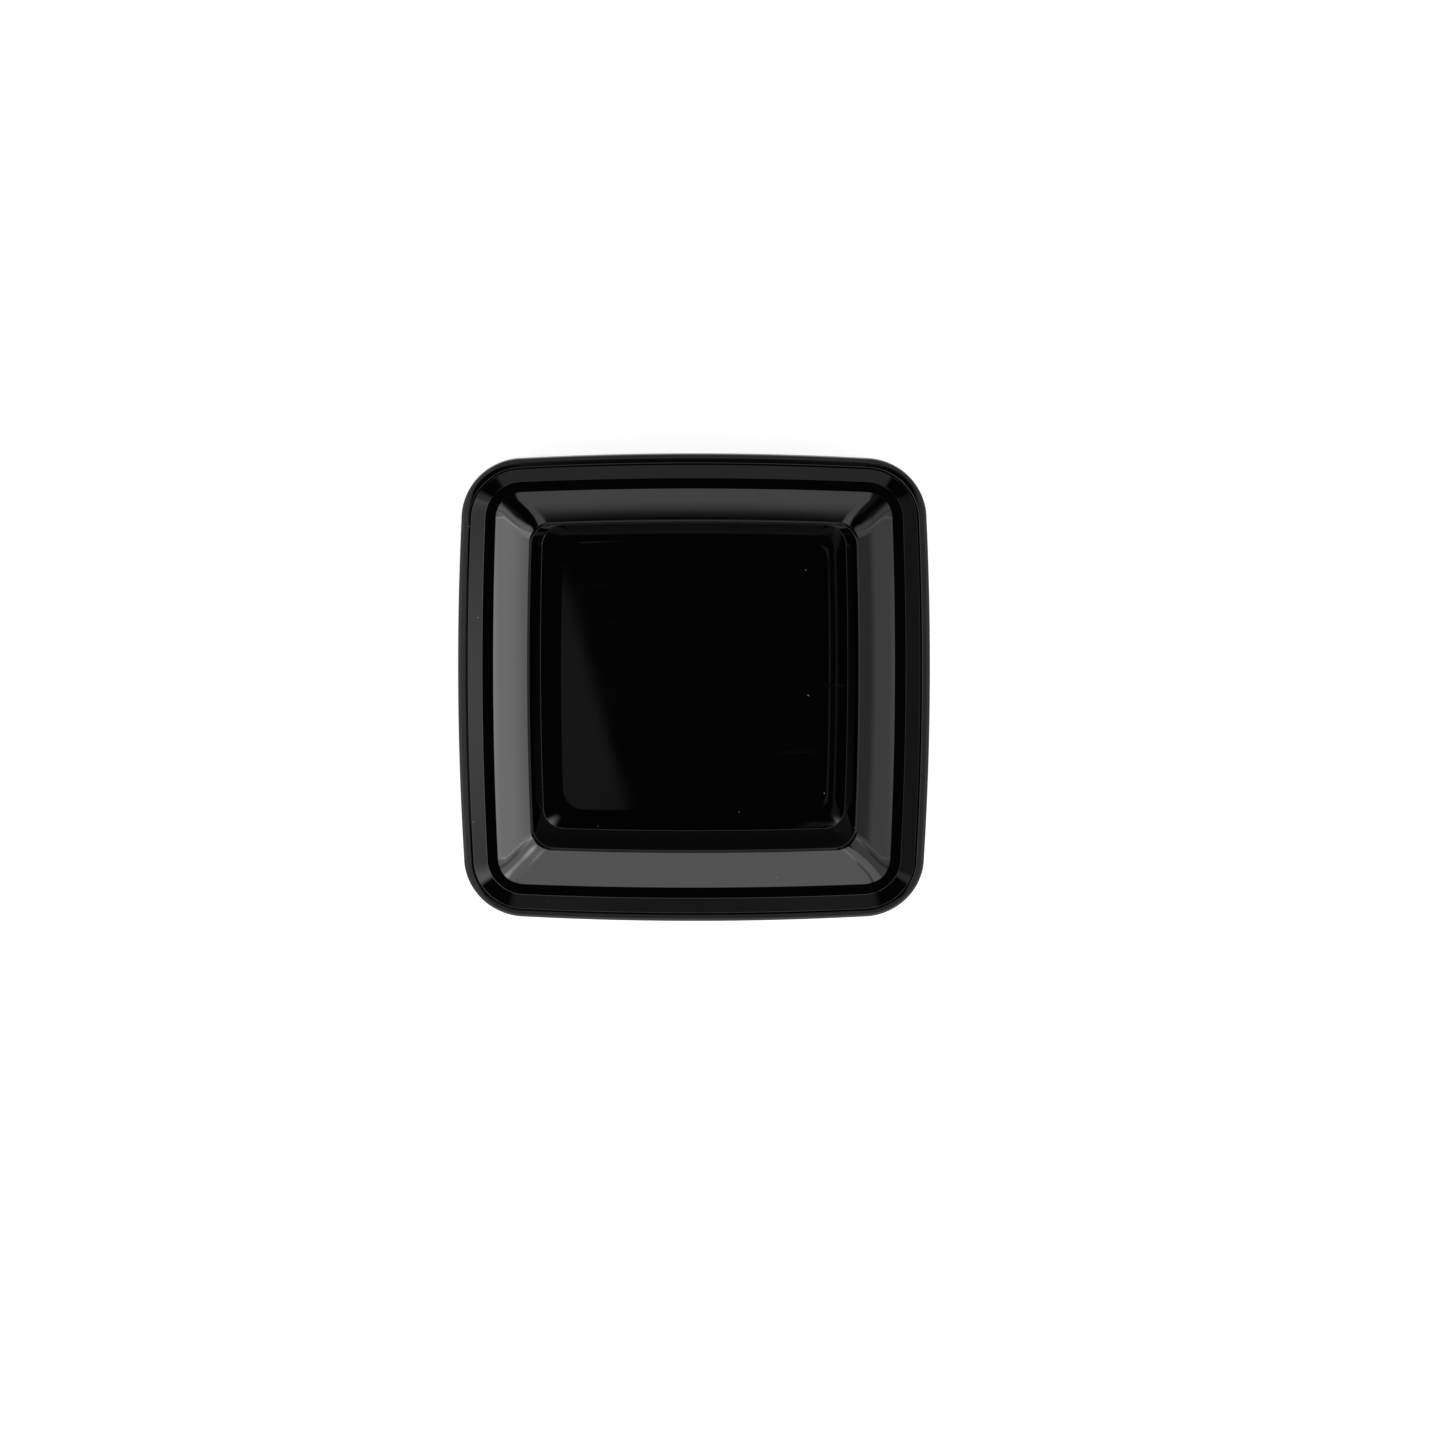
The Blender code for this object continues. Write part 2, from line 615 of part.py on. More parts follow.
def main():
    clear_scene()
    parts = new_collection("powder_compact")
    cutters = Cutters(new_collection("cutters"))
    black = (0.006, 0.006, 0.006)
    grey = (0.6, 0.6, 0.62)
    hinge = (0.0, HINGE_Y, PARTING_Z)

    make_lid_cover(parts, cutters, material("lid_gloss", black, 0.05))
    make_mirror_frame(parts, cutters, material("frame_satin", black, 0.3))
    glass = material("mirror_glass", (0.9, 0.9, 0.9), 0.02, metallic=1.0)
    make_sheet("mirror", parts, glass, partial(window_ring, GAP), MIRROR_Z, MIRROR_THICKNESS, hinge)
    foam = material("mirror_pad", (0.75, 0.75, 0.72), 0.9)
    foam_ring = partial(square_ring, MIRROR_PAD_SIDE / 2, PAD_CORNER)
    make_sheet("mirror_adhesive", parts, foam, foam_ring, MIRROR_PAD_Z, PAD_THICKNESS, hinge)

    make_base_shell(parts, cutters, material("base_gloss", black, 0.06))
    make_base_deck(parts, cutters, material("deck_satin", black, 0.3))
    glue = material("pan_glue", (0.8, 0.78, 0.7), 0.5)
    glue_ring = partial(square_ring, PAN_PAD_SIDE / 2, PAD_CORNER)
    make_sheet("pan_adhesive", parts, glue, glue_ring, PAN_PAD_Z, PAD_THICKNESS)
    make_powder_pan(parts, material("pan_aluminium", (0.8, 0.8, 0.82), 0.3, metallic=1.0))
    make_pressed_powder(parts, material("powder", (0.72, 0.5, 0.37), 0.95))

    film = material("clear_film", (0.95, 0.95, 0.95), 0.1, alpha=0.3)
    make_sheet("separator_sheet", parts, film, partial(well_ring, 2 * GAP, PAN_CORNER), FILM_Z, FILM_THICKNESS)
    make_powder_puff(parts, material("puff_velour", (0.78, 0.66, 0.56), 0.95))
    satin = material("puff_satin", (0.03, 0.03, 0.03), 0.45)
    backing_ring = partial(well_ring, PUFF_ROOM + PUFF_BACKING, PUFF_CORNER)
    make_sheet("puff_backing", parts, satin, backing_ring, BACKING_Z, PUFF_BACKING)
    make_puff_ribbon(parts, material("ribbon_satin", (0.02, 0.02, 0.02), 0.35))

    make_hinge_pins(parts, material("pin_steel", grey, 0.25, metallic=1.0))
    make_push_button(parts, cutters, material("button_gloss", black, 0.06))
    make_button_spring(parts, material("spring_steel", grey, 0.3, metallic=1.0))
    label = material("label_paper", (0.8, 0.8, 0.8), 0.6)
    label_ring = partial(square_ring, LABEL_SIDE / 2, LABEL_CORNER)
    label_z = (LABEL_RECESS - LABEL_THICKNESS) / 2
    make_sheet("base_label", parts, label, label_ring, label_z, LABEL_THICKNESS)


main()
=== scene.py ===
# The looks of a powder compact: polished black case, mirror, powder and puff, in a plain white studio.
import json
import math

import bmesh
import bpy
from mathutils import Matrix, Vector, noise


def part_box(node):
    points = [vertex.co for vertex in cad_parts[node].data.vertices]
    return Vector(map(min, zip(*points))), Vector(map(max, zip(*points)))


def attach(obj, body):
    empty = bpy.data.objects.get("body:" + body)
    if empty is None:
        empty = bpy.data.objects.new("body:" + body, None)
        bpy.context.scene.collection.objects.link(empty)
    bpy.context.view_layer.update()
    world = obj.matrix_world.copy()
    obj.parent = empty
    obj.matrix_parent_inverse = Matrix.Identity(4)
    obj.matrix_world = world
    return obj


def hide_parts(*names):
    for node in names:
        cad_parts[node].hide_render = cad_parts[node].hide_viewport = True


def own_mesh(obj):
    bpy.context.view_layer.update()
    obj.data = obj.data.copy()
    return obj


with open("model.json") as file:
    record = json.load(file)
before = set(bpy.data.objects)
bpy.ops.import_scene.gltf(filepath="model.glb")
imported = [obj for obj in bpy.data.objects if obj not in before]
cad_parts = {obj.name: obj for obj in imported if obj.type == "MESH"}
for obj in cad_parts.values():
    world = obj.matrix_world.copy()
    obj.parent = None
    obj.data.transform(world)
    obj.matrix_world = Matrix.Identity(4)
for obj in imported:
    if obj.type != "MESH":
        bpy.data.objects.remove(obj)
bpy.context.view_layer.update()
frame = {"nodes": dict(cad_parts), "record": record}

MM = 0.001
SPACING = 0.3 * MM

# ---------------------------------------------------------------- sizes from the frame
LID_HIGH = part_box("lid_cover")[1]
BASE_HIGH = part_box("base_shell")[1]
FRAME_LOW, FRAME_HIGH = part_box("mirror_frame")
MIRROR_LOW, MIRROR_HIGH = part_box("mirror")
DECK_LOW, DECK_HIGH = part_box("base_deck")
PAN_LOW, PAN_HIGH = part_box("powder_pan")
POWDER_LOW, POWDER_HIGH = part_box("pressed_powder")
FILM_LOW, FILM_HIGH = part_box("separator_sheet")
PUFF_LOW, PUFF_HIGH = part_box("powder_puff")
BACKING_LOW, BACKING_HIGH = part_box("puff_backing")
RIBBON_LOW, RIBBON_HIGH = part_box("puff_ribbon")
BUTTON_LOW, BUTTON_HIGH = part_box("push_button")
SPRING_LOW, SPRING_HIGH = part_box("button_spring")
PIN_LOW, PIN_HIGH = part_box("hinge_pin_right")
LABEL_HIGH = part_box("base_label")[1]
HINGE = next(Vector(j["pos_m"]) for j in frame["record"]["behaviour"]["joints"] if j["name"] == "lid_hinge")

HALF_X = LID_HIGH.x
HALF_Y = LID_HIGH.y
CREST = LID_HIGH.z
PARTING = HINGE.z
WALL = 1.3 * MM
PARTING_GAP = 0.3 * MM
LID_BOTTOM = PARTING + PARTING_GAP / 2
BASE_TOP = PARTING - PARTING_GAP / 2
KNUCKLE = BASE_HIGH.z - PARTING
PIN_BORE = (PIN_HIGH.z - PIN_LOW.z) / 2 + 0.2 * MM
MIDDLE_KNUCKLE = 14.0 * MM
OUTER_KNUCKLE = 6.0 * MM
WEB_DROP = 2.8 * MM

# The dished top, as insets from the lip's outline and drops below its crest
FLOOR_INSET = 15.2 * MM
FLOOR_DROP = 7.9 * MM
WALL_FOOT_INSET = 12.0 * MM
SLOPE_INSET = 10.45 * MM
LIP_THICKNESS = 1.9 * MM

# The case's walls, as insets from the lip's outline
SKIRT_INSET = HALF_Y - HINGE.y
INNER_INSET = SKIRT_INSET + WALL
FRAME_INSET = HALF_X - FRAME_HIGH.x
FRAME_WALL = 0.9 * MM
BASE_TAPER = 0.7 * MM
WELL = (PAN_HIGH.x + SPACING, PAN_HIGH.y + SPACING)
WELL_CORNER = 3.0 * MM
WELL_WALL = 1.0 * MM
FRAME_DIP = 0.7 * MM
MIRROR_CORNER = 2.5 * MM
PUFF_CORNER = 7.0 * MM

# The button and the latch hook behind it
BUTTON_HALF = (6.5 * MM, 1.4 * MM)
HOOK_HALF_X = 4.0 * MM
HOOK_OUT = -27.25 * MM
HOOK_IN = -26.25 * MM
HOOK_REACH = 0.45 * MM
BARB = (7.15 * MM, 7.65 * MM)

# Corners and bows of the lip's outline
LIP_CORNER = 9.2 * MM
SMALLEST_CORNER = 3.2 * MM
LIP_BOW = 0.68 * MM
FLOOR_BOW = 0.25 * MM
BROKEN_EDGE = 0.12 * MM

# Facets
CORNER_STEPS = 20
SIDE_STEPS = 24
ARC_DEGREES = 9
ROD_STEPS = 64
GUSSET_SHARP = 22


# ---------------------------------------------------------------- outlines, paths and lofts
def outline(half_x, half_y, radius, bow, z):
    """A rounded rectangle whose sides bow outwards at their middles."""
    points = []
    for sx, sy, start in ((1, 1, 0), (-1, 1, 90), (-1, -1, 180), (1, -1, 270)):
        centre_x = sx * (half_x - bow - radius)
        centre_y = sy * (half_y - bow - radius)
        for step in range(CORNER_STEPS + 1):
            angle = math.radians(start + 90 * step / CORNER_STEPS)
            x = centre_x + radius * math.cos(angle)
            y = centre_y + radius * math.sin(angle)
            points.append(Vector((x, y, z)))
        along_x = start in (0, 180)
        run = 2 * (half_x - bow - radius) if along_x else 2 * (half_y - bow - radius)
        end = points[-1]
        for step in range(1, SIDE_STEPS):
            part = step / SIDE_STEPS
            swell = 4 * bow * part * (1 - part)
            if along_x:
                points.append(Vector((end.x - sx * run * part, end.y + sy * swell, z)))
            else:
                points.append(Vector((end.x + sx * swell, end.y - sy * run * part, z)))
    return points


def lip_ring(inset, z):
    """The lip's outline moved in by inset, at height z."""
    radius = max(LIP_CORNER - inset, SMALLEST_CORNER)
    part = min(inset / FLOOR_INSET, 1.0)
    bow = LIP_BOW + (FLOOR_BOW - LIP_BOW) * part
    return outline(HALF_X - inset, HALF_Y - inset, radius, bow, z)


def square_ring(half, corner):
    """A ring maker for a plain rounded rectangle: half sizes and corner shrink by the inset it is given."""

    def ring(inset, z):
        return outline(half[0] - inset, half[1] - inset, max(corner - inset, 0.3 * MM), 0, z)

    return ring


def rounded_path(corners):
    """Points along straight runs through (inset, height, radius) corners, each corner turned in an arc."""
    points = []
    for i, (inset, height, radius) in enumerate(corners):
        here = Vector((inset, height))
        if radius == 0:
            points.append(here)
            continue
        back = (Vector(corners[i - 1][:2]) - here).normalized()
        ahead = (Vector(corners[(i + 1) % len(corners)][:2]) - here).normalized()
        turn = math.pi - back.angle(ahead)
        centre = here + (back + ahead).normalized() * (radius / math.cos(turn / 2))
        start = here + back * (radius * math.tan(turn / 2)) - centre
        steps = max(2, math.ceil(math.degrees(turn) / ARC_DEGREES))
        sign = 1 if back.x * ahead.y - back.y * ahead.x < 0 else -1
        for step in range(steps + 1):
            angle = sign * turn * step / steps
            cos, sin = math.cos(angle), math.sin(angle)
            points.append(centre + Vector((start.x * cos - start.y * sin, start.x * sin + start.y * cos)))
    return points


def loft(rings, closed=False):
    """Joins rings of equal point counts into one skin, with end caps or closed on itself."""
    bm = bmesh.new()
    rows = [[bm.verts.new(point) for point in ring] for ring in rings]
    pairs = list(zip(rows, rows[1:]))
    if closed:
        pairs.append((rows[-1], rows[0]))
    else:
        bm.faces.new(rows[0])
        bm.faces.new(rows[-1])
    count = len(rows[0])
    for low, high in pairs:
        for i in range(count):
            j = (i + 1) % count
            bm.faces.new((low[i], low[j], high[j], high[i]))
    return bm


def swept(corners, ring=lip_ring, closed=False):
    """The skin that a path of rounded corners sweeps round an outline."""
    return loft([ring(p.x, p.y) for p in rounded_path(corners)], closed)


def box(low, high, bevel=0.0):
    bm = bmesh.new()
    bmesh.ops.create_cube(bm, size=1.0)
    bmesh.ops.scale(bm, vec=Vector(high) - Vector(low), verts=bm.verts)
    bmesh.ops.translate(bm, vec=(Vector(low) + Vector(high)) / 2, verts=bm.verts)
    if bevel:
        bmesh.ops.bevel(bm, geom=bm.edges[:], offset=bevel, segments=3, affect="EDGES", profile=0.5)
    return bm


def rod(radius, start_x, end_x, chamfer=0.0):
    """A round bar along X on the hinge's axis, with its end edges broken."""
    ends = [(start_x, chamfer), (start_x + chamfer, 0), (end_x - chamfer, 0), (end_x, chamfer)]
    if not chamfer:
        ends = ends[::3]
    rings = []
    for x, shrink in ends:
        ring = []
        for step in range(ROD_STEPS):
            angle = math.tau * step / ROD_STEPS
            across = (radius - shrink) * math.cos(angle)
            up = (radius - shrink) * math.sin(angle)
            ring.append(Vector((x, HINGE.y + across, PARTING + up)))
        rings.append(ring)
    return loft(rings)


def facing(half_x, half_z, corner, path, z):
    """A rounded rectangle facing -Y: path gives (inset, y) of each ring."""
    rings = []
    for inset, y in path:
        flat = outline(half_x - inset, half_z - inset, max(corner - inset, 0.1 * MM), 0, 0)
        rings.append([Vector((p.x, y, z + p.y)) for p in flat])
    return loft(rings)


def temporary(bm):
    bmesh.ops.recalc_face_normals(bm, faces=bm.faces)
    mesh = bpy.data.meshes.new("temporary")
    bm.to_mesh(mesh)
    bm.free()
    obj = bpy.data.objects.new("temporary", mesh)
    bpy.context.scene.collection.objects.link(obj)
    return obj


def combined(bm, *steps):
    """The mesh after each (operation, mesh) step has been cut from it or joined to it."""
    target = temporary(bm)
    helpers = []
    for operation, tool in steps:
        modifier = target.modifiers.new("combine", "BOOLEAN")
        modifier.operation = operation
        modifier.solver = "EXACT"
        modifier.object = temporary(tool)
        helpers.append(modifier.object)
    graph = bpy.context.evaluated_depsgraph_get()
    result = bmesh.new()
    result.from_mesh(target.evaluated_get(graph).data)
    for obj in (target, *helpers):
        mesh = obj.data
        bpy.data.objects.remove(obj)
        bpy.data.meshes.remove(mesh)
    return result


def piece(bm, name, body, node, mat, sharp=35):
    """An object of the mesh that stands for a CAD node and rides on its body."""
    bmesh.ops.recalc_face_normals(bm, faces=bm.faces)
    mesh = bpy.data.meshes.new(name)
    bm.to_mesh(mesh)
    bm.free()
    mesh.shade_smooth()
    mesh.set_sharp_from_angle(angle=math.radians(sharp))
    obj = bpy.data.objects.new(name, mesh)
    bpy.context.scene.collection.objects.link(obj)
    mesh.materials.append(mat)
    normals = obj.modifiers.new("flats_stay_flat", "WEIGHTED_NORMAL")
    normals.keep_sharp = True
    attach(obj, body)
    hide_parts(node)
    return obj


# ---------------------------------------------------------------- materials
class Material:
    """A Principled material with helpers for its procedural detail, in metres of the object's own space."""

    def __init__(self, name, colour, roughness, **constants):
        self.mat = bpy.data.materials.new(name)
        self.mat.use_nodes = True
        self.tree = self.mat.node_tree
        self.shader = self.tree.nodes["Principled BSDF"]
        self.coords = self.tree.nodes.new("ShaderNodeTexCoord").outputs["Object"]
        self.shader.inputs["Base Color"].default_value = (*colour, 1)
        self.shader.inputs["Roughness"].default_value = roughness
        for key, value in constants.items():
            self.shader.inputs[key.replace("_", " ")].default_value = value
        self.height = None

    def node(self, kind, **settings):
        node = self.tree.nodes.new(kind)
        for key, value in settings.items():
            setattr(node, key, value)
        return node

    def stretched(self, scale):
        node = self.node("ShaderNodeMapping")
        node.inputs["Scale"].default_value = scale
        self.tree.links.new(self.coords, node.inputs["Vector"])
        return node.outputs[0]

    def noise(self, scale, detail=2.0, stretch=(1, 1, 1)):
        node = self.node("ShaderNodeTexNoise")
        node.inputs["Scale"].default_value = scale
        node.inputs["Detail"].default_value = detail
        self.tree.links.new(self.stretched(stretch), node.inputs["Vector"])
        return node.outputs[0]

    def cells(self, scale):
        node = self.node("ShaderNodeTexVoronoi")
        node.inputs["Scale"].default_value = scale
        self.tree.links.new(self.coords, node.inputs["Vector"])
        return node.outputs["Distance"]

    def threads(self, scale, direction):
        node = self.node("ShaderNodeTexWave", bands_direction=direction)
        node.inputs["Scale"].default_value = scale
        node.inputs["Distortion"].default_value = 0.4
        self.tree.links.new(self.coords, node.inputs["Vector"])
        return node.outputs["Fac"]

    def span(self, value, low, high, at_low, at_high):
        node = self.node("ShaderNodeMapRange")
        self.tree.links.new(value, node.inputs["Value"])
        for name, number in (("From Min", low), ("From Max", high), ("To Min", at_low), ("To Max", at_high)):
            node.inputs[name].default_value = number
        return node.outputs[0]

    def math(self, operation, a, b):
        node = self.node("ShaderNodeMath", operation=operation)
        for socket, value in zip(node.inputs, (a, b)):
            if isinstance(value, (int, float)):
                socket.default_value = value
            else:
                self.tree.links.new(value, socket)
        return node.outputs[0]

    def blend(self, mask, first, second):
        node = self.node("ShaderNodeMix", data_type="RGBA")
        self.tree.links.new(mask, node.inputs["Factor"])
        for socket, colour in ((node.inputs["A"], first), (node.inputs["B"], second)):
            if isinstance(colour, tuple):
                socket.default_value = (*colour, 1)
            else:
                self.tree.links.new(colour, socket)
        return node.outputs["Result"]

    def colour(self, value):
        self.tree.links.new(value, self.shader.inputs["Base Color"])

    def rough(self, value):
        self.tree.links.new(value, self.shader.inputs["Roughness"])

    def bump(self, value, distance, strength=1.0):
        node = self.node("ShaderNodeBump")
        node.inputs["Distance"].default_value = distance
        node.inputs["Strength"].default_value = strength
        self.tree.links.new(value, node.inputs["Height"])
        if self.height:
            self.tree.links.new(self.height, node.inputs["Normal"])
        self.height = node.outputs[0]
        self.tree.links.new(self.height, self.shader.inputs["Normal"])


def polished_plastic(name):
    """Black polished moulding: faint wiping marks, a few hairline scratches and specks of dust."""
    m = Material(name, (0.0009, 0.0009, 0.0009), 0.04, IOR=1.5)
    wiped = m.span(m.noise(90, 3), 0.35, 0.75, 0.012, 0.03)
    scratch = m.span(m.noise(420, 1, (0.08, 1, 1)), 0.74, 0.78, 0.0, 0.12)
    specks = m.span(m.cells(230), 0.016, 0.026, 1.0, 0.0)
    m.colour(m.blend(specks, (0.0009, 0.0009, 0.0009), (0.3, 0.3, 0.3)))
    m.rough(m.math("ADD", m.math("ADD", wiped, scratch), m.math("MULTIPLY", specks, 0.6)))
    return m.mat


def satin_plastic(name):
    """Black moulding with an even spark-eroded grain."""
    m = Material(name, (0.012, 0.012, 0.012), 0.34, IOR=1.5)
    grain = m.noise(5200, 3)
    m.colour(m.blend(m.noise(70, 2), (0.009, 0.009, 0.009), (0.016, 0.016, 0.016)))
    m.rough(m.span(m.noise(160, 3), 0.3, 0.7, 0.28, 0.42))
    m.bump(grain, 0.03 * MM)
    return m.mat


def silvered_glass(name):
    m = Material(name, (0.88, 0.9, 0.9), 0.01, Metallic=1.0)
    m.rough(m.span(m.noise(110, 4), 0.52, 0.72, 0.008, 0.05))
    m.colour(m.blend(m.noise(40, 2), (0.86, 0.885, 0.88), (0.9, 0.915, 0.91)))
    return m.mat


def foam(name):
    m = Material(name, (0.75, 0.75, 0.72), 0.9)
    pores_and_painted_shade = m.cells(2600)
    # painted shade: the pores' pits, sunk by the same mask in the bump, are painted darker
    m.colour(m.blend(pores_and_painted_shade, (0.58, 0.58, 0.55), (0.8, 0.8, 0.77)))
    m.bump(pores_and_painted_shade, 0.12 * MM)
    return m.mat


def soft_glue(name):
    m = Material(name, (0.8, 0.78, 0.7), 0.45, Subsurface_Weight=0.2)
    m.colour(m.blend(m.noise(500, 3), (0.72, 0.7, 0.6), (0.83, 0.81, 0.74)))
    m.rough(m.span(m.noise(300, 2), 0.3, 0.7, 0.35, 0.6))
    m.bump(m.noise(350, 2), 0.15 * MM)
    return m.mat


def drawn_metal(name, colour, stretch, rough_low, rough_high):
    """Metal with fine parallel drawing lines."""
    m = Material(name, colour, 0.3, Metallic=1.0, Anisotropic=0.5)
    lines = m.noise(2500, 3, stretch)
    dark = tuple(0.82 * c for c in colour)
    m.colour(m.blend(lines, dark, colour))
    m.rough(m.span(lines, 0.3, 0.7, rough_low, rough_high))
    m.bump(lines, 0.012 * MM)
    return m.mat


def pressed_cake(name):
    """Pressed powder: soft mottling and a very fine loose grain."""
    m = Material(name, (0.72, 0.5, 0.37), 0.95, Specular_IOR_Level=0.15)
    mottle = m.blend(m.noise(260, 4), (0.66, 0.44, 0.315), (0.76, 0.545, 0.41))
    m.colour(m.blend(m.span(m.noise(7000, 2), 0.45, 0.75, 0, 1), mottle, (0.84, 0.66, 0.53)))
    m.rough(m.span(m.noise(500, 2), 0.3, 0.7, 0.88, 1.0))
    m.bump(m.noise(6000, 3), 0.04 * MM)
    m.bump(m.noise(900, 3), 0.05 * MM)
    return m.mat


def clear_film(name):
    m = Material(name, (0.96, 0.96, 0.96), 0.06, Transmission_Weight=1.0, IOR=1.3)
    m.rough(m.span(m.noise(120, 3), 0.4, 0.7, 0.03, 0.14))
    m.colour(m.blend(m.noise(60, 2), (0.95, 0.95, 0.95), (0.99, 0.99, 0.99)))
    m.bump(m.noise(140, 2), 0.12 * MM)
    return m.mat


def velour(name):
    """Short cotton pile, laid in soft patches, with powder worked into it; the low parts of the pile carry
    painted shade.
    """
    colour = (0.78, 0.66, 0.56)
    m = Material(name, colour, 0.95, Sheen_Weight=0.6, Sheen_Roughness=0.4, Specular_IOR_Level=0.1)
    pile = m.noise(4200, 3)
    patches = m.blend(m.noise(230, 3), (0.7, 0.57, 0.47), (0.84, 0.74, 0.65))
    # painted shade: the colour darkens where the pile's bump is low, in the hollows between tufts
    painted_pile_shade = m.blend(pile, (0.56, 0.44, 0.36), (0.7, 0.6, 0.5))
    m.colour(m.blend(m.span(pile, 0.35, 0.65, 0, 1), painted_pile_shade, patches))
    m.rough(m.span(pile, 0.3, 0.7, 0.85, 1.0))
    m.bump(pile, 0.16 * MM)
    m.bump(m.noise(700, 3), 0.1 * MM)
    return m.mat


def woven_satin(name, colour, thread_scale):
    """Black satin: fine crossing threads that catch a broad sheen."""
    m = Material(name, colour, 0.42, Sheen_Weight=0.3, Sheen_Roughness=0.3, Anisotropic=0.4)
    warp = m.threads(thread_scale, "X")
    weft = m.threads(thread_scale * 0.45, "Y")
    weave = m.math("ADD", m.math("MULTIPLY", warp, 0.7), m.math("MULTIPLY", weft, 0.3))
    lighter = tuple(2.2 * c for c in colour)
    m.colour(m.blend(m.math("MULTIPLY", weave, m.noise(420, 2)), colour, lighter))
    m.rough(m.span(weave, 0.2, 0.9, 0.5, 0.34))
    m.bump(weave, 0.03 * MM)
    return m.mat


def blank_paper(name):
    m = Material(name, (0.82, 0.81, 0.79), 0.55)
    m.colour(m.blend(m.noise(1400, 5), (0.76, 0.755, 0.735), (0.85, 0.845, 0.83)))
    m.rough(m.span(m.noise(500, 3), 0.3, 0.7, 0.45, 0.65))
    m.bump(m.noise(2600, 4), 0.02 * MM)
    return m.mat


# ---------------------------------------------------------------- the case
def knuckle_spans():
    """X ranges of the base's middle knuckle and of the lid's two outer ones."""
    start = MIDDLE_KNUCKLE + SPACING
    end = start + OUTER_KNUCKLE
    return (-MIDDLE_KNUCKLE, MIDDLE_KNUCKLE), ((-end, -start), (start, end))


def knuckle_room(span):
    return "DIFFERENCE", rod(KNUCKLE + SPACING, span[0] - SPACING, span[1] + SPACING)


def web(span, z_end):
    """The gusset that ties a knuckle to its wall, thinning out towards z_end."""
    inner = HINGE.y - WALL * 0.7
    rings = []
    for outer, z in ((HINGE.y + KNUCKLE * 0.9, PARTING), (HINGE.y - WALL * 0.2, z_end)):
        corners = ((span[0], inner), (span[1], inner), (span[1], outer), (span[0], outer))
        rings.append([Vector((x, y, z)) for x, y in corners])
    return "UNION", loft(rings)


def pin_bores():
    """Cuts for the two hinge pins, open at the outer knuckles' ends."""
    for side in (-1, 1):
        outer_end = MIDDLE_KNUCKLE + SPACING + OUTER_KNUCKLE + SPACING / 3
        ends = sorted((side * (PIN_LOW.x - SPACING), side * outer_end))
        yield "DIFFERENCE", rod(PIN_BORE, *ends)


def make_lid(mat):
    under = CREST - LIP_THICKNESS
    path = [
        (FLOOR_INSET, CREST - FLOOR_DROP, 0),
        (13.7 * MM, CREST - 7.82 * MM, 8 * MM),
        (12.05 * MM, CREST - 7.6 * MM, 0.12 * MM),
        (10.6 * MM, CREST - 2.25 * MM, 0.3 * MM),
        (10.25 * MM, CREST - 2.06 * MM, 0.3 * MM),
        (7.8 * MM, CREST - 1.36 * MM, 60 * MM),
        (5.2 * MM, CREST - 0.75 * MM, 0.5 * MM),
        (3.6 * MM, CREST - 0.68 * MM, 0.4 * MM),
        (1.5 * MM, CREST, 0.3 * MM),
        (1.15 * MM, CREST, 0.3 * MM),
        (0.5 * MM, CREST - 0.3 * MM, 0.35 * MM),
        (0.0, CREST - 0.65 * MM, 0.3 * MM),
        (0.0, under + 0.35 * MM, 0.35 * MM),
        (0.9 * MM, under, 0.8 * MM),
        (0.62 * SKIRT_INSET, under - 0.55 * MM, 1.5 * MM),
        (SKIRT_INSET, under - 2.7 * MM, 2.5 * MM),
        (SKIRT_INSET, LID_BOTTOM, 0.15 * MM),
        (INNER_INSET, LID_BOTTOM, 0.15 * MM),
        (INNER_INSET, under - 2.0 * MM, 0.4 * MM),
        (INNER_INSET + 0.5 * MM, CREST - 2.4 * MM, 0.5 * MM),
        (SLOPE_INSET - WALL, CREST - 3.4 * MM, 0.5 * MM),
        (WALL_FOOT_INSET - WALL, CREST - 7.5 * MM, 0.8 * MM),
        (WALL_FOOT_INSET - WALL, CREST - FLOOR_DROP - WALL, 0),
    ]
    middle, outer = knuckle_spans()
    steps = [knuckle_room(middle)]
    for span in outer:
        steps.append(("UNION", rod(KNUCKLE, *span, chamfer=BROKEN_EDGE)))
        steps.append(web(span, PARTING + WEB_DROP))
    steps += pin_bores()
    bm = combined(swept(path), *steps)
    return piece(bm, "lid_shell", "lid", "lid_cover", mat, sharp=GUSSET_SHARP)


def make_base(mat):
    floor = 1.5 * MM
    inner = INNER_INSET + BASE_TAPER
    foot = SKIRT_INSET + BASE_TAPER
    path = [
        (inner + 3.0 * MM, floor, 0),
        (inner, floor, 0.7 * MM),
        (INNER_INSET, BASE_TOP, 0.15 * MM),
        (SKIRT_INSET, BASE_TOP, 0.2 * MM),
        (SKIRT_INSET + 0.3 * BASE_TAPER, 0.7 * PARTING, 12 * MM),
        (foot, 0.0, 2.2 * MM),
        (foot + 6.0 * MM, 0.0, 0),
    ]
    middle, outer = knuckle_spans()
    steps = [knuckle_room(span) for span in outer]
    steps.append(("UNION", rod(KNUCKLE, *middle, chamfer=BROKEN_EDGE)))
    steps.append(web(middle, PARTING - WEB_DROP))
    steps += pin_bores()
    outside, inside = BUTTON_LOW.y - WALL, BUTTON_HIGH.y - 0.5 * MM
    centre = (BUTTON_LOW.z + BUTTON_HIGH.z) / 2
    half_x = BUTTON_HALF[0] + SPACING
    half_z = BUTTON_HALF[1] + SPACING
    window = facing(half_x, half_z, half_z - SPACING, ((0, outside), (0, inside)), centre)
    steps.append(("DIFFERENCE", window))
    recess = square_ring((LABEL_HIGH.x + SPACING, LABEL_HIGH.y + SPACING), 3.0 * MM)
    steps.append(("DIFFERENCE", loft([recess(0, -WALL), recess(0, 0.55 * MM)])))
    bm = combined(swept(path), *steps)
    return piece(bm, "base_case", "base", "base_shell", mat, sharp=GUSSET_SHARP)


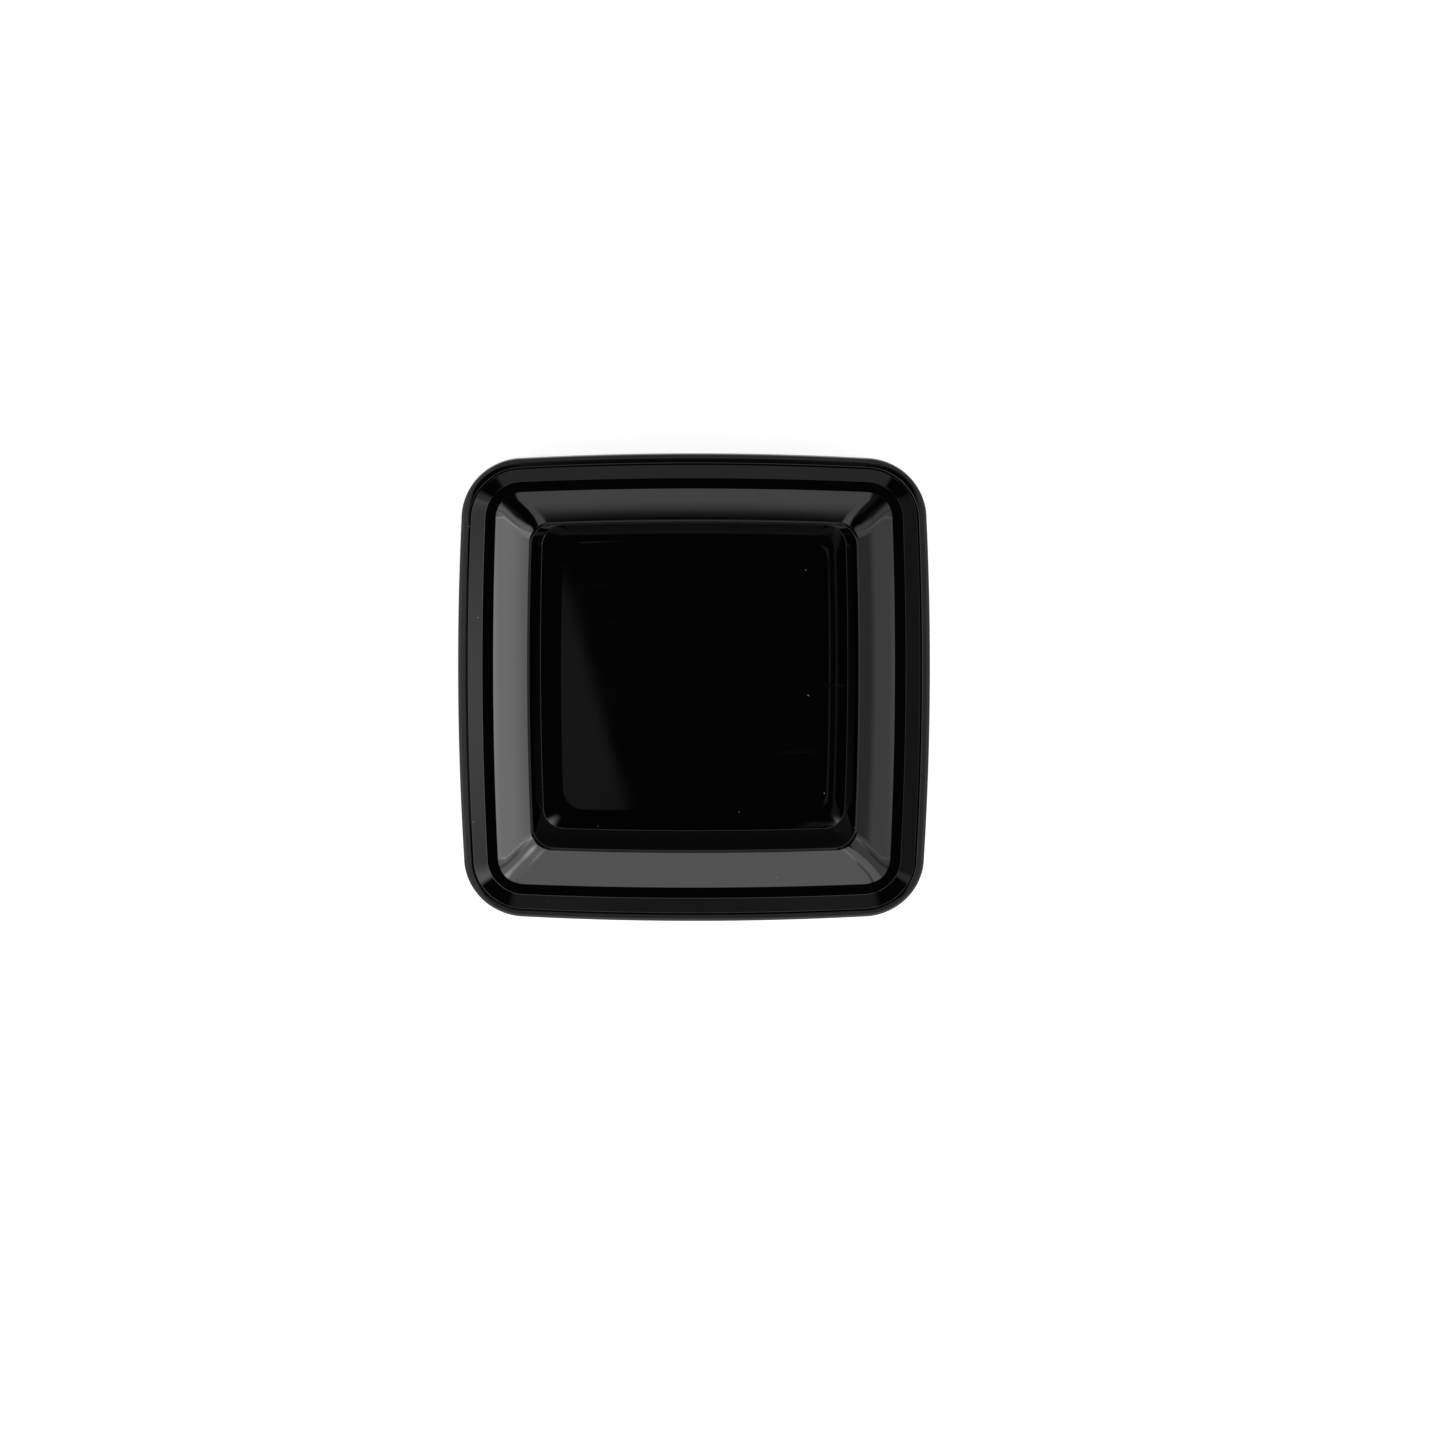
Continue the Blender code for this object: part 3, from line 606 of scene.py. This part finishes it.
def make_mirror_frame(mat):
    """The rim that holds the mirror and dips behind the base's rim, with the latch hook at its front."""
    window = square_ring((MIRROR_HIGH.x + SPACING, MIRROR_HIGH.y + SPACING), MIRROR_CORNER)
    inside = FRAME_INSET + FRAME_WALL
    low = BASE_TOP - FRAME_DIP
    edge = BROKEN_EDGE
    outer_path = rounded_path(
        [
            (inside, MIRROR_LOW.z, edge),
            (inside, low, edge),
            (FRAME_INSET, low, edge),
            (FRAME_INSET, FRAME_HIGH.z, edge),
            (inside, FRAME_HIGH.z, edge),
            (inside, MIRROR_HIGH.z, edge),
        ]
    )
    rim = MIRROR_LOW.z
    rings = [window(0, rim + edge), window(-edge / 3, rim + edge / 3), window(-edge, rim)]
    rings += [lip_ring(p.x, p.y) for p in outer_path]
    rings.append(window(0, MIRROR_HIGH.z))
    tab_top = MIRROR_HIGH.z - SPACING
    tab = box((-HOOK_HALF_X, HOOK_OUT, FRAME_LOW.z), (HOOK_HALF_X, HOOK_IN, tab_top), BROKEN_EDGE)
    nose_low = (-HOOK_HALF_X, HOOK_OUT - HOOK_REACH, BARB[0])
    nose_high = (HOOK_HALF_X, (HOOK_OUT + HOOK_IN) / 2, BARB[1])
    nose = box(nose_low, nose_high, 0.1 * MM)
    middle, outer = knuckle_spans()
    steps = [knuckle_room(span) for span in (middle, *outer)] + [("UNION", tab), ("UNION", nose)]
    bm = combined(loft(rings, closed=True), *steps)
    return piece(bm, "mirror_surround", "lid", "mirror_frame", mat)


def make_mirror(mat):
    """A glass plate with ground edges."""
    ring = square_ring((MIRROR_HIGH.x, MIRROR_HIGH.y), MIRROR_CORNER)
    low, high = MIRROR_LOW.z, MIRROR_HIGH.z
    path = [(6 * MM, low, 0), (0.9 * MM, low, 0), (0, low + 0.22 * MM, 0), (0, high, 0), (6 * MM, high, 0)]
    return piece(swept(path, ring), "mirror_plate", "lid", "mirror", mat, sharp=8)


def make_deck(mat):
    """The inner tray: a well for the pan, a step under the mirror frame and a slot for the hook."""
    ring = square_ring(WELL, WELL_CORNER)
    outer_ring = square_ring((WELL[0] + WELL_WALL, WELL[1] + WELL_WALL), WELL_CORNER + WELL_WALL)
    top, low = DECK_HIGH.z, DECK_LOW.z
    floor = low + 0.9 * MM
    under = top - 1.6 * MM
    step_inset = FRAME_INSET + FRAME_WALL + SPACING
    step_z = BASE_TOP - FRAME_DIP - SPACING
    run = 4 * MM
    well_path = rounded_path([(run, floor, 0), (0, floor, 0.5 * MM), (0, top, 0.4 * MM), (-1.2 * MM, top, 0)])
    plate_path = rounded_path(
        [
            (step_inset + 1.0 * MM, top, 0),
            (step_inset, top, 0.2 * MM),
            (step_inset, step_z, 0.15 * MM),
            (FRAME_INSET + 0.4 * MM, step_z, 0.2 * MM),
            (FRAME_INSET + 0.75 * MM, under, 0.2 * MM),
            (FRAME_INSET + 2.0 * MM, under, 0),
        ]
    )
    under_path = rounded_path(
        [
            (-0.6 * MM, under, 0),
            (0, under, 0.3 * MM),
            (0, low, 0.4 * MM),
            (run, low, 0),
        ]
    )
    rings = [ring(p.x, p.y) for p in well_path]
    rings += [lip_ring(p.x, p.y) for p in plate_path]
    rings += [outer_ring(p.x, p.y) for p in under_path]
    middle, outer = knuckle_spans()
    steps = [knuckle_room(span) for span in (middle, *outer)]
    slot_x = HOOK_HALF_X + SPACING
    slot_out = HOOK_OUT - HOOK_REACH - SPACING
    slot = box((-slot_x, slot_out, under - WALL), (slot_x, HOOK_IN + SPACING, top + WALL))
    steps.append(("DIFFERENCE", slot))
    return piece(combined(loft(rings), *steps), "deck_tray", "base", "base_deck", mat)


def make_button(mat):
    """The push button: a softly crowned face with a finger hollow, on a wider flange."""
    centre = (BUTTON_LOW.z + BUTTON_HIGH.z) / 2
    face, back = BUTTON_LOW.y, BUTTON_HIGH.y
    half = BUTTON_HALF
    rounding = []
    for step in range(9):
        angle = math.radians(90 * step / 8)
        rounding.append((0.3 * MM * (1 - math.sin(angle)), face + 0.3 * MM * (1 - math.cos(angle))))
    rings = [(1.1 * MM, face + 0.1 * MM), (0.8 * MM, face + 0.08 * MM), (0.5 * MM, face + 0.02 * MM)]
    stem = facing(*half, half[1] - 0.05 * MM, rings + rounding + [(0, back - 0.4 * MM)], centre)
    wide = (half[0] + 0.8 * MM, half[1] + 0.8 * MM)
    front = back - 0.8 * MM
    edge = 0.1 * MM
    flange_rings = ((edge, front), (0, front + edge), (0, back - edge), (edge, back))
    flange = facing(*wide, half[1], flange_rings, centre)
    bm = combined(stem, ("UNION", flange))
    return piece(bm, "release_button", "button", "push_button", mat)


# ---------------------------------------------------------------- what the case holds
def make_pan(mat):
    """A pressed aluminium tray with rounded bends."""
    ring = square_ring((PAN_HIGH.x, PAN_HIGH.y), WELL_CORNER)
    sheet = 0.4 * MM
    low, high = PAN_LOW.z, PAN_HIGH.z
    path = [
        (6 * MM, low, 0),
        (0, low, 0.8 * MM),
        (0, high, 0.14 * MM),
        (sheet, high, 0.14 * MM),
        (sheet, low + sheet, 0.5 * MM),
        (6 * MM, low + sheet, 0),
    ]
    return piece(swept(path, ring), "pan_tray", "base", "powder_pan", mat)


def make_powder(mat):
    """A cake with a low crown, a plain pressed border and a fine lattice pressed in the middle."""
    half = (POWDER_HIGH.x, POWDER_HIGH.y)
    corner = WELL_CORNER - 0.4 * MM
    top, low = POWDER_HIGH.z, POWDER_LOW.z
    border_in, border_out = 3.6 * MM, 4.4 * MM
    pitch = 3.0 * MM

    def relief(x, y):
        inset = min(half[0] - abs(x), half[1] - abs(y))
        if inset < border_in:
            return 0.0
        if inset < border_out:
            part = (inset - border_in) / (border_out - border_in)
            return -0.16 * MM * math.sin(math.pi * part)
        rise = min((inset - border_out) / (1.2 * MM), 1.0)
        waves = abs(math.sin(math.pi * (x + y) / pitch)) * abs(math.sin(math.pi * (x - y) / pitch))
        return -0.14 * MM * rise * (1 - waves**0.5)

    bm = bmesh.new()
    count = 180
    edge = 0.45 * MM
    rows = []
    for j in range(count + 1):
        row = []
        for i in range(count + 1):
            u, v = 2 * i / count - 1, 2 * j / count - 1
            x, y = u * half[0], v * half[1]
            row.append(bm.verts.new(round_corner(x, y, half, corner)))
        rows.append(row)
    for j in range(count):
        for i in range(count):
            bm.faces.new((rows[j][i], rows[j][i + 1], rows[j + 1][i + 1], rows[j + 1][i]))
    for vert in bm.verts:
        inset = edge_distance(vert.co.x, vert.co.y, half, corner)
        fall = 0.0
        if inset < 2.5 * edge:
            fall = edge * (1 - math.sqrt(max(0.0, 1 - (1 - inset / (2.5 * edge)) ** 2)))
        grain = 0.012 * MM * noise.noise(vert.co * 1500)
        vert.co.z = top - fall + relief(vert.co.x, vert.co.y) - 0.012 * MM + grain
    close_below(bm, low + 0.7 * MM, low, 0.7 * MM, half)
    return piece(bm, "powder_cake", "base", "pressed_powder", mat, sharp=60)


def edge_distance(x, y, half, corner):
    """How far inside a rounded rectangle a point is."""
    qx = abs(x) - (half[0] - corner)
    qy = abs(y) - (half[1] - corner)
    outside = math.hypot(max(qx, 0.0), max(qy, 0.0))
    return corner - outside - min(max(qx, qy), 0.0)


def round_corner(x, y, half, corner):
    """Moves a point of a square grid so that the grid's rim follows rounded corners."""
    reach = max(abs(x) / half[0], abs(y) / half[1])
    if reach == 0:
        return Vector((0, 0, 0))
    edge_x, edge_y = x / reach, y / reach
    qx = abs(edge_x) - (half[0] - corner)
    qy = abs(edge_y) - (half[1] - corner)
    if qx > 0 and qy > 0:
        angle = math.atan2(qy, qx)
        edge_x = math.copysign(half[0] - corner + corner * math.cos(angle), x)
        edge_y = math.copysign(half[1] - corner + corner * math.sin(angle), y)
    return Vector((edge_x * reach, edge_y * reach, 0))


def close_below(bm, side_z, low, tuck, half):
    """Closes a grid surface with a side wall and a tucked-in underside."""
    edges = [e for e in bm.edges if len(e.link_faces) == 1]
    for z, shrink in ((side_z, 0.0), (low, tuck)):
        made = bmesh.ops.extrude_edge_only(bm, edges=edges)["geom"]
        for vert in (g for g in made if isinstance(g, bmesh.types.BMVert)):
            vert.co.z = z
            vert.co.x *= 1 - shrink / half[0]
            vert.co.y *= 1 - shrink / half[1]
        edges = [g for g in made if isinstance(g, bmesh.types.BMEdge) and len(g.link_faces) == 1]
    bmesh.ops.contextual_create(bm, geom=edges)


def make_puff(mat):
    """A thin cotton pad: crowned on both faces, sides drawn in between the corners, puckers at its edge."""
    half = (PUFF_HIGH.x, PUFF_HIGH.y)
    corner = PUFF_CORNER
    middle = (PUFF_LOW.z + PUFF_HIGH.z) / 2
    thick = (PUFF_HIGH.z - PUFF_LOW.z) / 2
    count = 110
    bm = bmesh.new()
    sheets = []
    for side in (1, -1):
        rows = []
        for j in range(count + 1):
            row = []
            for i in range(count + 1):
                on_rim = i in (0, count) or j in (0, count)
                if side < 0 and on_rim:
                    row.append(sheets[0][j][i])
                    continue
                x, y = (2 * i / count - 1) * half[0], (2 * j / count - 1) * half[1]
                spot = round_corner(x, y, half, corner)
                row.append(bm.verts.new(spot + Vector((0, 0, side * 1e-9))))
            rows.append(row)
        sheets.append(rows)
        for j in range(count):
            for i in range(count):
                bm.faces.new((rows[j][i], rows[j][i + 1], rows[j + 1][i + 1], rows[j + 1][i]))
    for vert in bm.verts:
        x, y = vert.co.x, vert.co.y
        side = math.copysign(1, vert.co.z)
        inset = max(edge_distance(x, y, half, corner), 0.0)
        full = math.sqrt(1 - (1 - min(inset / (1.6 * MM), 1.0)) ** 2)
        crown = 0.8 + 0.2 * (1 - (x / half[0]) ** 2) * (1 - (y / half[1]) ** 2)
        run = 80 * math.atan2(y, x)
        pucker = 1 + 0.10 * math.sin(run) * max(0.0, 1 - inset / (3.5 * MM))
        lumps = 1 + 0.07 * noise.noise(Vector((x, y, side)) * 240)
        vert.co.z = middle + side * min(thick * full * crown * pucker * lumps, thick)
        draw = 0.45 * MM * (1 - (min(abs(x) / half[0], abs(y) / half[1])) ** 2)
        vert.co.x *= 1 - draw / half[0] * (abs(x) / half[0]) ** 2
        vert.co.y *= 1 - draw / half[1] * (abs(y) / half[1]) ** 2
    obj = piece(bm, "puff_pad", "base", "powder_puff", mat, sharp=80)
    return obj


def sheet_patch(half, corner, count, z_of, thickness):
    """A thin cloth sheet on a fine grid, following z_of(x, y), with both faces and its cut edge."""
    bm = bmesh.new()
    rows = []
    for j in range(count + 1):
        row = []
        for i in range(count + 1):
            x, y = (2 * i / count - 1) * half[0], (2 * j / count - 1) * half[1]
            spot = round_corner(x, y, half, corner) if corner else Vector((x, y, 0))
            spot.z = z_of(spot.x, spot.y)
            row.append(bm.verts.new(spot))
        rows.append(row)
    for j in range(count):
        for i in range(count):
            bm.faces.new((rows[j][i], rows[j][i + 1], rows[j + 1][i + 1], rows[j + 1][i]))
    extruded = bmesh.ops.extrude_face_region(bm, geom=bm.faces[:])["geom"]
    for vert in (g for g in extruded if isinstance(g, bmesh.types.BMVert)):
        vert.co.z += thickness
    return bm


def make_backing(mat):
    """The puff's satin back, drawn flat by the ribbon and lifting a little towards its sewn edge."""
    half = (BACKING_HIGH.x, BACKING_HIGH.y)
    thickness = 0.12 * MM
    room = BACKING_HIGH.z - BACKING_LOW.z - thickness

    def height(x, y):
        inset = edge_distance(x, y, half, PUFF_CORNER)
        fall = max(0.0, 1 - inset / (1.5 * MM)) ** 2
        ripple = 0.25 + 0.25 * noise.noise(Vector((x, y, 0)) * 160)
        stitch = 0.2 * math.exp(-(((inset - 1.2 * MM) / (0.25 * MM)) ** 2))
        return BACKING_LOW.z + room * (1 - fall) * (1 - ripple - stitch)

    bm = sheet_patch(half, PUFF_CORNER, 120, height, thickness)
    return piece(bm, "satin_back", "base", "puff_backing", mat, sharp=60)


def make_ribbon(mat):
    """A satin band across the puff's back with a fine corded selvedge."""
    half = (RIBBON_HIGH.x, RIBBON_HIGH.y)
    thickness = 0.1 * MM
    room = RIBBON_HIGH.z - RIBBON_LOW.z - thickness

    def height(x, y):
        selvedge = math.exp(-(((half[1] - abs(y) - 0.35 * MM) / (0.18 * MM)) ** 2))
        wave = 0.3 * (1 + math.cos(math.pi * x / half[0]))
        return RIBBON_LOW.z + room * min(1.0, 0.1 + wave + 0.3 * selvedge)

    bm = sheet_patch(half, 0, 130, height, thickness)
    return piece(bm, "ribbon_band", "base", "puff_ribbon", mat, sharp=60)


def make_film(mat):
    """The clear film over the powder, lying almost flat, with slightly lifted corners."""
    half = (FILM_HIGH.x, FILM_HIGH.y)
    thickness = 0.05 * MM
    room = FILM_HIGH.z - FILM_LOW.z - thickness

    def height(x, y):
        lift = (abs(x) / half[0] * abs(y) / half[1]) ** 3
        return FILM_LOW.z + room * min(1.0, lift + 0.15 + 0.15 * noise.noise(Vector((x, y, 0)) * 90))

    bm = sheet_patch(half, WELL_CORNER, 60, height, thickness)
    return piece(bm, "cover_film", "base", "separator_sheet", mat, sharp=60)


def make_spring(mat):
    """A bowed leaf with rounded edges and ends that roll towards the well."""
    crown_y, end_y = SPRING_LOW.y, SPRING_HIGH.y
    gauge = 0.25 * MM
    low, high = SPRING_LOW.z, SPRING_HIGH.z
    half_x = SPRING_HIGH.x
    edge = 0.06 * MM
    rings = []
    steps = 60
    for step in range(steps + 1):
        part = step / steps
        x = half_x * (2 * part - 1)
        y = crown_y + (end_y - gauge - crown_y) * (1 - math.cos(math.pi * (2 * part - 1))) / 2
        corners = (
            (0, low + edge),
            (edge, low),
            (gauge - edge, low),
            (gauge, low + edge),
            (gauge, high - edge),
            (gauge - edge, high),
            (edge, high),
            (0, high - edge),
        )
        rings.append([Vector((x, y + across, z)) for across, z in corners])
    obj = piece(loft(rings), "return_leaf", "base", "button_spring", mat)
    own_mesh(obj)
    return obj


# ---------------------------------------------------------------- studio
TILT = math.radians(15)
DISTANCE = 1.2
OBJECT_SHARE = 0.3266
SHIFT_RIGHT = 0.0197
SHIFT_DOWN = 0.0231


def add_camera():
    """Looks down at the lid, tilted a little towards the hinge side."""
    data = bpy.data.cameras.new("camera")
    cam = bpy.data.objects.new("camera", data)
    bpy.context.scene.collection.objects.link(cam)
    bpy.context.scene.camera = cam
    data.sensor_width = 36
    data.lens = data.sensor_width * DISTANCE * OBJECT_SHARE / (2 * HALF_X)
    data.shift_x = SHIFT_RIGHT
    data.shift_y = -SHIFT_DOWN
    data.clip_end = 100
    lip = Vector((0, 0, CREST - 0.9 * MM))
    cam.location = lip + Vector((0, math.sin(TILT), math.cos(TILT))) * DISTANCE
    cam.rotation_euler = (-TILT, 0, 0)


class Sky:
    """A dark ceiling with soft lit panels. Places on it are slopes: sideways or along, over height."""

    def __init__(self):
        world = bpy.data.worlds.new("studio")
        bpy.context.scene.world = world
        world.use_nodes = True
        self.tree = world.node_tree
        self.background = self.tree.nodes["Background"]
        self.background.inputs["Color"].default_value = (1, 1, 1, 1)
        coords = self.tree.nodes.new("ShaderNodeTexCoord")
        split = self.tree.nodes.new("ShaderNodeSeparateXYZ")
        self.tree.links.new(coords.outputs["Generated"], split.inputs[0])
        x, y, self.height = split.outputs
        safe = self.math("MAXIMUM", self.height, 0.02)
        self.across = self.math("DIVIDE", x, safe)
        self.along = self.math("DIVIDE", y, safe)
        self.total = None

    def math(self, operation, a, b):
        node = self.tree.nodes.new("ShaderNodeMath")
        node.operation = operation
        for socket, value in zip(node.inputs, (a, b)):
            if isinstance(value, (int, float)):
                socket.default_value = value
            else:
                self.tree.links.new(value, socket)
        return node.outputs[0]

    def fade(self, value, low, high, at_low, at_high):
        node = self.tree.nodes.new("ShaderNodeMapRange")
        node.interpolation_type = "SMOOTHSTEP"
        self.tree.links.new(value, node.inputs["Value"])
        for name, number in (("From Min", low), ("From Max", high), ("To Min", at_low), ("To Max", at_high)):
            node.inputs[name].default_value = number
        return node.outputs[0]

    def product(self, *values):
        total = values[0]
        for value in values[1:]:
            total = self.math("MULTIPLY", total, value)
        return total

    def between(self, value, low, high, soft_low, soft_high):
        rise = self.fade(value, low - soft_low, low + soft_low, 0, 1)
        fall = self.fade(value, high - soft_high, high + soft_high, 1, 0)
        return self.product(rise, fall)

    def add(self, value):
        self.total = value if self.total is None else self.math("ADD", self.total, value)

    def panel(self, across, along, strength, soft=(0.02, 0.02, 0.02, 0.02)):
        """A rectangle whose four edges each fade over their own width."""
        side = self.between(self.across, *across, soft[0], soft[1])
        length = self.between(self.along, *along, soft[2], soft[3])
        self.add(self.product(side, length, strength))

    def finish(self):
        self.tree.links.new(self.total, self.background.inputs["Strength"])


def add_sky():
    """The studio's lit panels, each placed where the lid's bands and slopes reflect it."""
    sky = Sky()
    # the big panel on the right, which lights the left slope, and its dimmer spill
    sky.panel((0.44, 0.62), (-0.66, 0.02), 3.6, (0.02, 0.12, 0.03, 0.05))
    sky.panel((0.62, 0.79), (-0.9, 0.1), 0.6, (0.03, 0.03, 0.1, 0.05))
    # the panel on the left, in two steps
    sky.panel((-0.545, -0.44), (-0.66, 0.02), 1.1, (0.02, 0.02, 0.03, 0.03))
    sky.panel((-0.64, -0.545), (-0.66, 0.02), 0.5, (0.02, 0.02, 0.03, 0.03))
    sky.panel((-0.79, -0.64), (-0.9, 0.1), 0.15, (0.02, 0.03, 0.1, 0.05))
    sky.panel((-0.20, -0.12), (-0.9, 0.1), 0.12, (0.02, 0.02, 0.1, 0.05))
    # behind the hinge side, and the joins to the side panels
    sky.panel((-0.16, 0.16), (0.10, 0.32), 2.1, (0.02, 0.04, 0.02, 0.02))
    sky.panel((0.12, 0.30), (-0.13, 0.19), 2.4, (0.04, 0.02, 0.03, 0.03))
    sky.panel((0.30, 0.46), (-0.13, 0.05), 2.4, (0.02, 0.02, 0.03, 0.03))
    sky.panel((0.37, 0.46), (-0.40, -0.10), 2.4, (0.03, 0.02, 0.02, 0.03))
    sky.panel((0.235, 0.305), (-0.03, 0.04), 4.5, (0.03, 0.03, 0.03, 0.03))
    sky.panel((-0.25, -0.14), (-0.13, 0.19), 2.1, (0.01, 0.02, 0.03, 0.02))
    sky.panel((-0.46, -0.25), (-0.13, 0.05), 0.95, (0.02, 0.01, 0.03, 0.03))
    sky.panel((-0.46, -0.37), (-0.40, -0.10), 0.95, (0.02, 0.03, 0.02, 0.03))
    sky.panel((-0.35, 0.35), (0.34, 0.60), 0.24, (0.05, 0.05, 0.02, 0.05))
    # behind the button side, and its joins
    sky.panel((-0.42, 0.42), (-0.96, -0.74), 1.25, (0.04, 0.04, 0.08, 0.02))
    sky.panel((0.33, 0.45), (-0.60, -0.40), 2.2, (0.03, 0.02, 0.03, 0.05))
    sky.panel((-0.45, -0.33), (-0.62, -0.40), 0.9, (0.02, 0.03, 0.03, 0.05))
    sky.panel((-0.42, 0.42), (-1.40, -1.06), 0.42, (0.05, 0.05, 0.05, 0.03))
    sky.panel((-0.42, 0.42), (-0.56, -0.44), 0.12, (0.05, 0.05, 0.03, 0.03))
    # the dim sheen on the dish's floor
    lean = sky.math("ADD", sky.across, sky.math("MULTIPLY", sky.math("ADD", sky.along, 0.2526), 0.248))
    edge = sky.fade(lean, -0.0175, -0.0155, 1, 0)
    length = sky.between(sky.along, -0.286, -0.2535, 0.002, 0.004)
    sky.add(sky.product(edge, length, sky.fade(sky.across, -0.05, -0.03, 0, 0.17)))
    # low fills near the horizon on each side
    sky.panel((-4.0, -1.1), (-2.5, 2.5), 0.7, (0.5, 0.1, 0.5, 0.5))
    sky.panel((1.1, 4.0), (-2.5, 2.5), 0.47, (0.1, 0.5, 0.5, 0.5))
    sky.panel((-1.1, 1.1), (0.8, 4.0), 0.5, (0.1, 0.1, 0.1, 0.5))
    sky.panel((-1.1, 1.1), (-4.0, -1.6), 0.35, (0.1, 0.1, 0.5, 0.1))
    sky.add(sky.fade(sky.height, 0.0, 0.45, 1.0, 0.015))
    sky.finish()


def add_floor():
    """A white sweep, lit evenly from within so that it stays plain. It is clear from below."""
    mesh = bpy.data.meshes.new("floor")
    reach = 15.0
    level = -0.05 * MM
    corners = [(x * reach, y * reach, level) for x, y in ((-1, -1), (1, -1), (1, 1), (-1, 1))]
    mesh.from_pydata(corners, [], [(0, 1, 2, 3)])
    floor = bpy.data.objects.new("floor", mesh)
    bpy.context.scene.collection.objects.link(floor)
    m = Material("floor_white", (0.8, 0.8, 0.8), 1.0, Specular_IOR_Level=0.0, Emission_Strength=0.8)
    m.shader.inputs["Emission Color"].default_value = (1, 1, 1, 1)
    from_above = m.math("SUBTRACT", 1, m.node("ShaderNodeNewGeometry").outputs["Backfacing"])
    m.tree.links.new(from_above, m.shader.inputs["Alpha"])
    mesh.materials.append(m.mat)


# ---------------------------------------------------------------- everything together
def repaint(node, mat):
    """Gives a carried-over CAD node its finished material."""
    obj = frame["nodes"][node]
    for i in range(len(obj.material_slots)):
        obj.material_slots[i].material = mat


def main():
    bpy.context.scene.view_settings.view_transform = "Standard"
    add_camera()
    add_sky()
    add_floor()

    make_lid(polished_plastic("lid_gloss_plastic"))
    make_base(polished_plastic("base_gloss_plastic"))
    make_button(polished_plastic("button_gloss_plastic"))
    make_mirror_frame(satin_plastic("frame_satin_plastic"))
    make_deck(satin_plastic("deck_satin_plastic"))
    make_mirror(silvered_glass("mirror_silver"))
    make_pan(drawn_metal("pan_sheet", (0.8, 0.8, 0.82), (0.04, 1, 1), 0.25, 0.4))
    make_powder(pressed_cake("powder_press"))
    film = make_film(clear_film("film_clear"))
    puff = make_puff(velour("puff_pile"))
    back = make_backing(woven_satin("puff_satin_weave", (0.022, 0.021, 0.021), 900))
    ribbon = make_ribbon(woven_satin("ribbon_weave", (0.018, 0.018, 0.018), 1300))
    make_spring(drawn_metal("spring_strip", (0.6, 0.6, 0.62), (0.04, 1, 1), 0.2, 0.34))

    repaint("mirror_adhesive", foam("mirror_foam"))
    repaint("pan_adhesive", soft_glue("pan_glue_pad"))
    steel = drawn_metal("pin_wire", (0.6, 0.6, 0.62), (0.03, 1, 1), 0.18, 0.3)
    repaint("hinge_pin_left", steel)
    repaint("hinge_pin_right", steel)
    repaint("base_label", blank_paper("label_blank"))


main()
